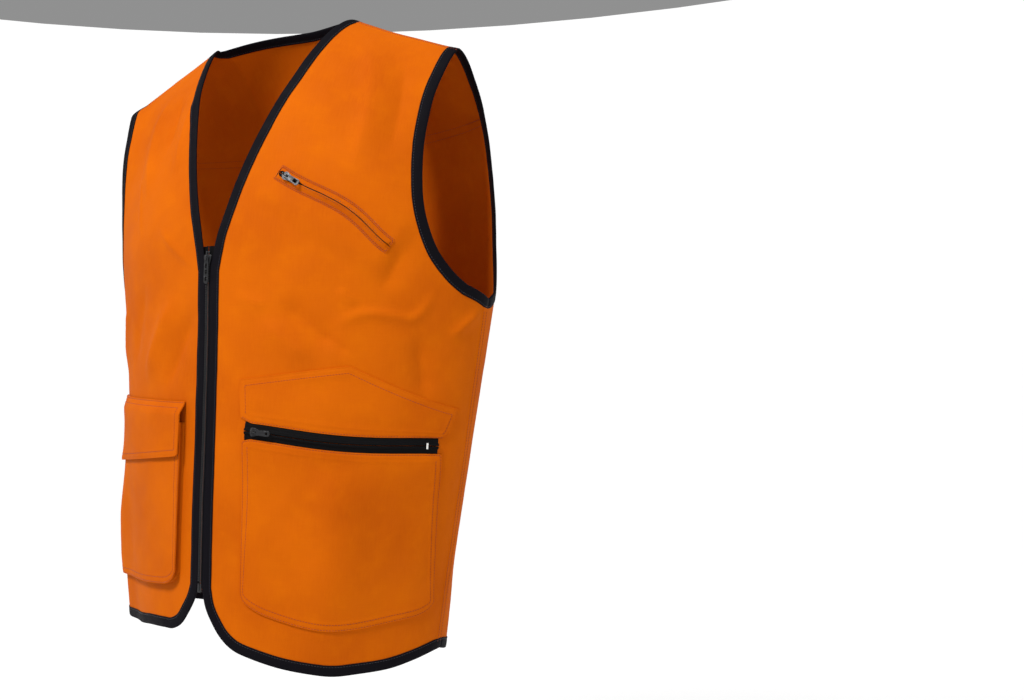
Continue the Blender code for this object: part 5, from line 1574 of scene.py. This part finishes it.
def build_left_pocket():
    straight_path = pocket_zip
    path = Bowed(pocket_zip, POCKET_BOW, 1.0)
    for side, word in ((1, "upper"), (-1, "lower")):
        section = [(0.25, 0.15), (0.6, 0.75), (1.2, 0.98), (1.9, 0.90), (2.5, 0.45), (2.9, -0.35),
                   (3.6, -1.0), (5.0, -1.12),
                   (7.4, -1.25), (8.2, -1.75), (9.6, -1.95), (9.6, -2.3), (7.6, -2.2), (3.4, -1.75),
                   (1.2, -1.2), (0.25, -1.1)]
        tape = curved_tape(f"pocket_zip_{word}_tape", path, side, TAPE_HALF, section, (0.0015, 0.00010))
        turn_of_coil = box_template((-0.00038, 0.00038), (side * 0.00145 - 0.0012, side * 0.00145 + 0.0012),
                                    (-0.0019, -0.0011), 0.0002)
        coil = scatter(f"pocket_zip_{word}_coil", turn_of_coil,
                       frames(path, np.arange(0.0005, path.length, 0.0015)), MATERIALS["teeth"])
        own("front_left", "zip_tape", tape)
        own("front_left", "zip_chain", coil)
        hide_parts(f"pocket_zip_tape_{word}")
        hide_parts(f"pocket_zip_chain_{word}")
    at = path.length - 0.0078
    tack_h = np.linspace(-0.0027, 0.0027, 13)
    places = []
    for h in tack_h:
        place = frames(path, at, h, 0.0013)[0]
        places.append(place)
    tack = scatter("pocket_zip_white_bartack", capsule(0.0022, 0.00034, 1.0, 0.5), places,
                   MATERIALS["white_thread"])
    own("front_left", "white_thread", tack)
    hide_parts("pocket_zip_bartack")
    slide = slider("pocket_zip_slide_body", straight_path, 0.0030, 0.0090, 0.0040)
    border = mirror_outline([(-0.0006, 0.0), (-0.0006, 0.0014), (-0.0002, 0.0020), (0.0046, 0.0019),
                             (0.0066, 0.0022),
                             (0.0140, 0.0026), (0.0164, 0.0026), (0.0180, 0.0021), (0.0188, 0.0011),
                             (0.0190, 0.0)])
    turns = np.linspace(0, 2 * math.pi, 21)[:-1]
    ring = [(0.0155 + 0.0013 * math.cos(t), 0.0013 * math.sin(t)) for t in turns]
    tab = pull("pocket_zip_pull_tab", straight_path, 0.0030 + LUG_SHARE * 0.0090, [border, LUG_WINDOW, ring])
    own("pocket_slider", "slider_metal", slide)
    own("pocket_pull", "slider_metal", tab)
    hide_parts("pocket_zip_slider")
    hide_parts("pocket_zip_pull")

    zip_s = path.length * np.linspace(0.004, 0.99, 24)
    above, below = path.at(zip_s, 0.0078, 0.0), path.at(zip_s, -0.0078, 0.0)
    top = straight([(0.0412, -0.3789), (0.1472, -0.3650), (0.2232, -0.4090)])
    left = straight([(0.0452, -0.4172), (0.0412, -0.3789)])
    right = straight([(0.2119, -0.4369), (0.2167, -0.4318), (0.2232, -0.4090)])
    bottom = line_uv(np.vstack([[(0.0452, -0.4172)], above[:, [0, 2]], [(0.2119, -0.4369)]]))
    yoke, yoke_sewn = patch("left_pocket_yoke_cloth", patch_grid(bottom, top, left, right), 11,
                            rows=(("left", 2), ("right", 2), ("bottom", 1), ("top", 2)))
    top = line_uv(np.vstack([[(0.0462, -0.4405)], below[:, [0, 2]], [(0.2106, -0.4528)]]))
    bottom = line_uv(spline([(0.0476, -0.5933), (0.0508, -0.6010), (0.0583, -0.6070), (0.0784, -0.6154),
                             (0.1277, -0.6262),
                             (0.1802, -0.6183), (0.1934, -0.6132), (0.1985, -0.6050)]))
    left = straight([(0.0476, -0.5933), (0.0462, -0.4405)])
    right = straight([(0.1985, -0.6050), (0.2106, -0.4528)])
    bag, bag_sewn = patch("left_pocket_bag_cloth", patch_grid(bottom, top, left, right), 17,
                          rows=(("left", 1, 2), ("right", 1, 2), ("bottom", 1, 2), ("top", 1)))
    own("front_left", "orange_cloth", yoke, yoke_sewn, bag, bag_sewn)
    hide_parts("left_pocket_yoke")
    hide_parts("left_pocket_bag")


# ---------------------------------------------------------------- cargo pocket
def pocket_depth(points):
    """How far the cargo pocket's face stands off the front: it sags open towards the zip."""
    across = np.clip((np.abs(points[..., 0]) - CARGO_INNER_X) / (CARGO_OUTER_X - CARGO_INNER_X), 0, 1)
    return 0.0074 - 0.0042 * across


def face_grid():
    """The cargo pocket's face on the wearer's left, to be mirrored."""
    inner, outer = CARGO_INNER_X, CARGO_OUTER_X
    top = straight([(inner, CARGO_TOP_Z), (outer, CARGO_TOP_Z)], 40)
    low_in, low_out = inner + 0.001, outer - 0.006
    bottom = line_uv(spline([(low_in, -0.5800), (low_in + 0.0035, -0.5870), (low_in + 0.0130, -0.5940),
                             (low_in + 0.030, -0.5975), (0.5 * (low_in + low_out), -0.6045),
                             (low_out - 0.030, -0.6110),
                             (low_out - 0.0130, -0.6100), (low_out - 0.0030, -0.6030), (low_out, -0.5940)]))
    left = straight([(low_in, -0.5800), (inner, CARGO_TOP_Z)])
    right = straight([(low_out, -0.5940), (outer, CARGO_TOP_Z)])
    return patch_grid(bottom, top, left, right)


GUSSET_SIDE = 1


def gusset_sheet(rim_line, face_lift):
    """The pocket's side, folded inwards half way between the front and the face."""
    stations = np.linspace(0, 1, 15)
    depth = 0.0070 * np.sin(math.pi * stations) ** 0.8
    low, high = 0.0005, face_lift(on_body(rim_line)) + UNDER_PATCH - 0.0002
    layers = []
    for share, inwards in zip(stations, depth):
        line = inset(rim_line, 0.0006 + inwards, GUSSET_SIDE)
        lift = low + (high - low) * (share + 0.10 * math.sin(2 * math.pi * share))
        wave = 0.0006 * noise(on_body(line), 0.020, 51) * math.sin(math.pi * share)
        layers.append(on_body(line) + outward(line) * (relief(line) + lift + wave)[:, None])
    points = np.stack(layers)
    normal = np.cross(np.gradient(points, axis=0), np.gradient(points, axis=1))
    normal /= np.linalg.norm(normal, axis=-1, keepdims=True)
    return points + normal * 0.0003, points - normal * 0.0003


def flap_lift(points):
    return pocket_depth(points) + 0.0026


def flap_grid():
    inner, outer = CARGO_INNER_X - 0.0015, CARGO_OUTER_X + 0.0015
    top = straight([(inner, FLAP_TOP_Z), (outer, FLAP_TOP_Z)], 40)
    left = straight([(inner, -0.4575), (inner, FLAP_TOP_Z)])
    right = straight([(outer, -0.4790), (outer, FLAP_TOP_Z)])
    bottom = line_uv(np.vstack([np.linspace(a, b, 12)[: None if last else -1] for a, b, last in (
        ((inner, -0.4575), (inner + 0.0030, -0.4605), False),
        ((inner + 0.0030, -0.4605), (outer - 0.004, -0.4815), False),
        ((outer - 0.004, -0.4815), (outer, -0.4790), True))]))
    return patch_grid(bottom, top, left, right)


def build_cargo_pocket():
    grid = mirrored(face_grid())[:, ::-1]

    def crease(points):
        return pocket_depth(points) - UNDER_PATCH - PATCH / 2

    lift = crease(on_body(grid)) + 0.0008 * noise(on_body(grid), 0.045, 61)
    face, face_sewn = patch("cargo_face_cloth", grid, 23, lift=lift,
                            rows=(("left", 1, 2), ("right", 1, 2), ("bottom", 1, 2), ("top", 2)))
    outline = np.vstack([grid[::-1, 0], grid[0, 1:-1], grid[:, -1]])
    outline = even(outline, 0.0022)
    top, low = gusset_sheet(outline, crease)
    rows, columns = top.shape[:2]
    run = np.concatenate([[0], np.cumsum(np.linalg.norm(np.diff(top[0], axis=0), axis=1))])
    across = np.linspace(0, 0.020, rows)
    uvs = np.stack(np.broadcast_arrays(across[:, None], run[None, :]), axis=-1) + (2.3, 0.9)
    gusset = cloth_sheet("cargo_gusset_cloth", top, low, MATERIALS["orange"], uvs, sharp=False)
    own("front_right", "orange_cloth", face, face_sewn, gusset)
    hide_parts("cargo_pocket_face")
    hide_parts("cargo_pocket_gusset")
    loop = scatter_pad
    for word, x0, x1 in (("inner", 0.075, 0.110), ("outer", 0.130, 0.165)):
        pad, fuzz = loop(f"cargo_closure_{word}_strip", x0, x1, -0.4640, -0.4500,
                         lambda uv: crease(on_body(uv)) + relief(uv) + UNDER_PATCH + PATCH + 0.0010, 1)
        own("front_right", "touch_closure", pad, fuzz)
        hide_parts(f"cargo_closure_{word}")
    grid = mirrored(flap_grid())[:, ::-1]
    points = on_body(grid)
    fall = np.clip(FLAP_TOP_Z - points[..., 2], 0, None)
    lifted = (flap_lift(points) - FLAP_ROOT) * smooth(fall / 0.0150)
    rise = FLAP_ROOT + lifted + 0.0010 * smooth((fall - 0.02) / 0.05)
    soft = 0.0008 * noise(points, 0.05, 71) * smooth(fall / 0.02)
    flap, flap_sewn = patch("cargo_flap_cloth", grid, 29, lift=rise - UNDER_PATCH - PATCH / 2 + soft,
                            rows=(("left", 2), ("right", 2), ("bottom", 2), ("top", 1, 2)))
    own("cargo_flap", "orange_cloth", flap, flap_sewn)
    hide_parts("cargo_pocket_flap")
    for word, x0, x1 in (("inner", 0.078, 0.107), ("outer", 0.133, 0.162)):
        pad, fuzz = loop(f"cargo_flap_hook_{word}", x0, x1, -0.4600, -0.4500,
                         lambda uv: relief(uv) + flap_lift(on_body(uv)) - PATCH / 2 - 0.0002
                         + 0.0008 * noise(on_body(uv), 0.05, 71), -1)
        own("cargo_flap", "touch_closure", pad, fuzz)


def scatter_pad(name, x0, x1, z0, z1, lift_of, side):
    """A strip of touch closure and its stubble, on the outer (side 1) or inner face of what it is sewn to."""
    grid = np.zeros((12, 26, 2))
    for i, z in enumerate(np.linspace(z0, z1, 12)):
        for j, x in enumerate(np.linspace(x0, x1, 26)):
            grid[i, j] = uv_of(-x, z)
    base, normal = on_body(grid), outward(grid)
    lift = lift_of(grid)
    thick = 0.0005 * np.clip(edge_distance(grid) / 0.0006, 0.3, 1)
    near = base + normal * lift[..., None]
    far = near + side * normal * thick[..., None]
    pad = cloth_sheet(name, far, near, MATERIALS["hook"], cloth_uv(grid))
    places = []
    for k in range(900):
        i = 1 + 9.5 * (0.5 + 0.5 * lattice(k, 1, 0, 3))
        j = 1 + 23.5 * (0.5 + 0.5 * lattice(k, 2, 0, 3))
        a, b = int(i), int(j)
        here = far[a, b] + (far[a + 1, b] - far[a, b]) * (i - a) + (far[a, b + 1] - far[a, b]) * (j - b)
        out = side * normal[a, b] + 0.5 * np.array([lattice(k, 3, 0, 3), lattice(k, 4, 0, 3),
                                                    lattice(k, 5, 0, 3)])
        out /= np.linalg.norm(out)
        x = np.cross(out, (0.3, 0.2, 0.9))
        x /= np.linalg.norm(x)
        places.append(np.stack([out, x, np.cross(out, x), here], axis=-1))
    bristle = capsule(0.0009, 0.00012, 1.0, 0.0)
    return pad, scatter(f"{name}_stubble", bristle, places, MATERIALS["hook"])


def build_rest():
    build_front_zip()
    build_chest_pocket()
    build_left_pocket()
    build_cargo_pocket()



# ---------------------------------------------------------------- camera, floor and light
CAMERA_AZIMUTH = math.radians(36.14)
CAMERA_DISTANCE = 1.1771
CAMERA_Z = -0.3491


def build_stage():
    camera_data = bpy.data.cameras.new("camera")
    camera_data.lens = 36.25
    camera_data.sensor_width = 36.0
    camera_data.shift_x = 0.2205
    camera_data.clip_start = 0.01
    camera = bpy.data.objects.new("camera", camera_data)
    bpy.context.scene.collection.objects.link(camera)
    camera.location = (CAMERA_DISTANCE * math.sin(CAMERA_AZIMUTH),
                       -CAMERA_DISTANCE * math.cos(CAMERA_AZIMUTH), CAMERA_Z)
    camera.rotation_euler = (math.pi / 2, 0, CAMERA_AZIMUTH)
    bpy.context.scene.camera = camera

    n = Nodes("pale_floor")
    n.set(Base_Color=colour(0.45, 0.45, 0.45), Roughness=0.9)
    away = n.add("ShaderNodeVectorMath", operation="DOT_PRODUCT")
    n.put(away.inputs[0], n.add("ShaderNodeTexCoord").outputs["Object"])
    n.put(away.inputs[1], (-math.sin(CAMERA_AZIMUTH), math.cos(CAMERA_AZIMUTH), 0.0))
    n.set(Specular_IOR_Level=0.1, Emission_Color=colour(1.0, 1.0, 1.0),
          Emission_Strength=n.between(away.outputs["Value"], -3.0, 1.5, 0.25, 0.74))
    rings, spokes = 40, 72
    points = []
    for share in np.linspace(0, 1, rings):
        turn = QUARTER * share
        reach = 3.0 + 3.0 * math.sin(turn) if share > 0 else 3.0
        height = -1.15 + 3.0 * (1 - math.cos(turn))
        for k in range(spokes):
            a = 2 * math.pi * k / (spokes - 1)
            points.append((reach * math.cos(a), reach * math.sin(a), height))
    faces = quads(rings, spokes).tolist()
    faces.append(list(range(spokes))[::-1])
    floor = add_mesh("floor", points, faces, n.material)

    world = bpy.data.worlds.new("studio")
    bpy.context.scene.world = world
    world.use_nodes = True
    world.node_tree.nodes["Background"].inputs["Color"].default_value = colour(1.0, 1.0, 1.0)
    world.node_tree.nodes["Background"].inputs["Strength"].default_value = 0.28
    target = Vector((0.0, 0.0, -0.33))
    for name, place, size, power in LIGHTS:
        light = bpy.data.lights.new(name, "AREA")
        light.shape = "RECTANGLE"
        light.size, light.size_y = size
        light.energy = power
        lamp = bpy.data.objects.new(name, light)
        bpy.context.scene.collection.objects.link(lamp)
        lamp.location = place
        lamp.rotation_euler = (target - lamp.location).to_track_quat("-Z", "Y").to_euler()
    bpy.context.scene.view_settings.view_transform = "Standard"
    bpy.context.scene.view_settings.look = "None"


# Name, place, width and height, power.
LIGHTS = (
    ("key", (-0.28, -1.90, 1.62), (0.7, 0.7), 76.0),
    ("fill", (2.00, -0.70, 0.20), (1.4, 1.4), 10.0),
)

for front_side, front_word in ((1, "left"), (-1, "right")):
    build_front(front_side, front_word)
build_back()
build_rest()
build_stage()
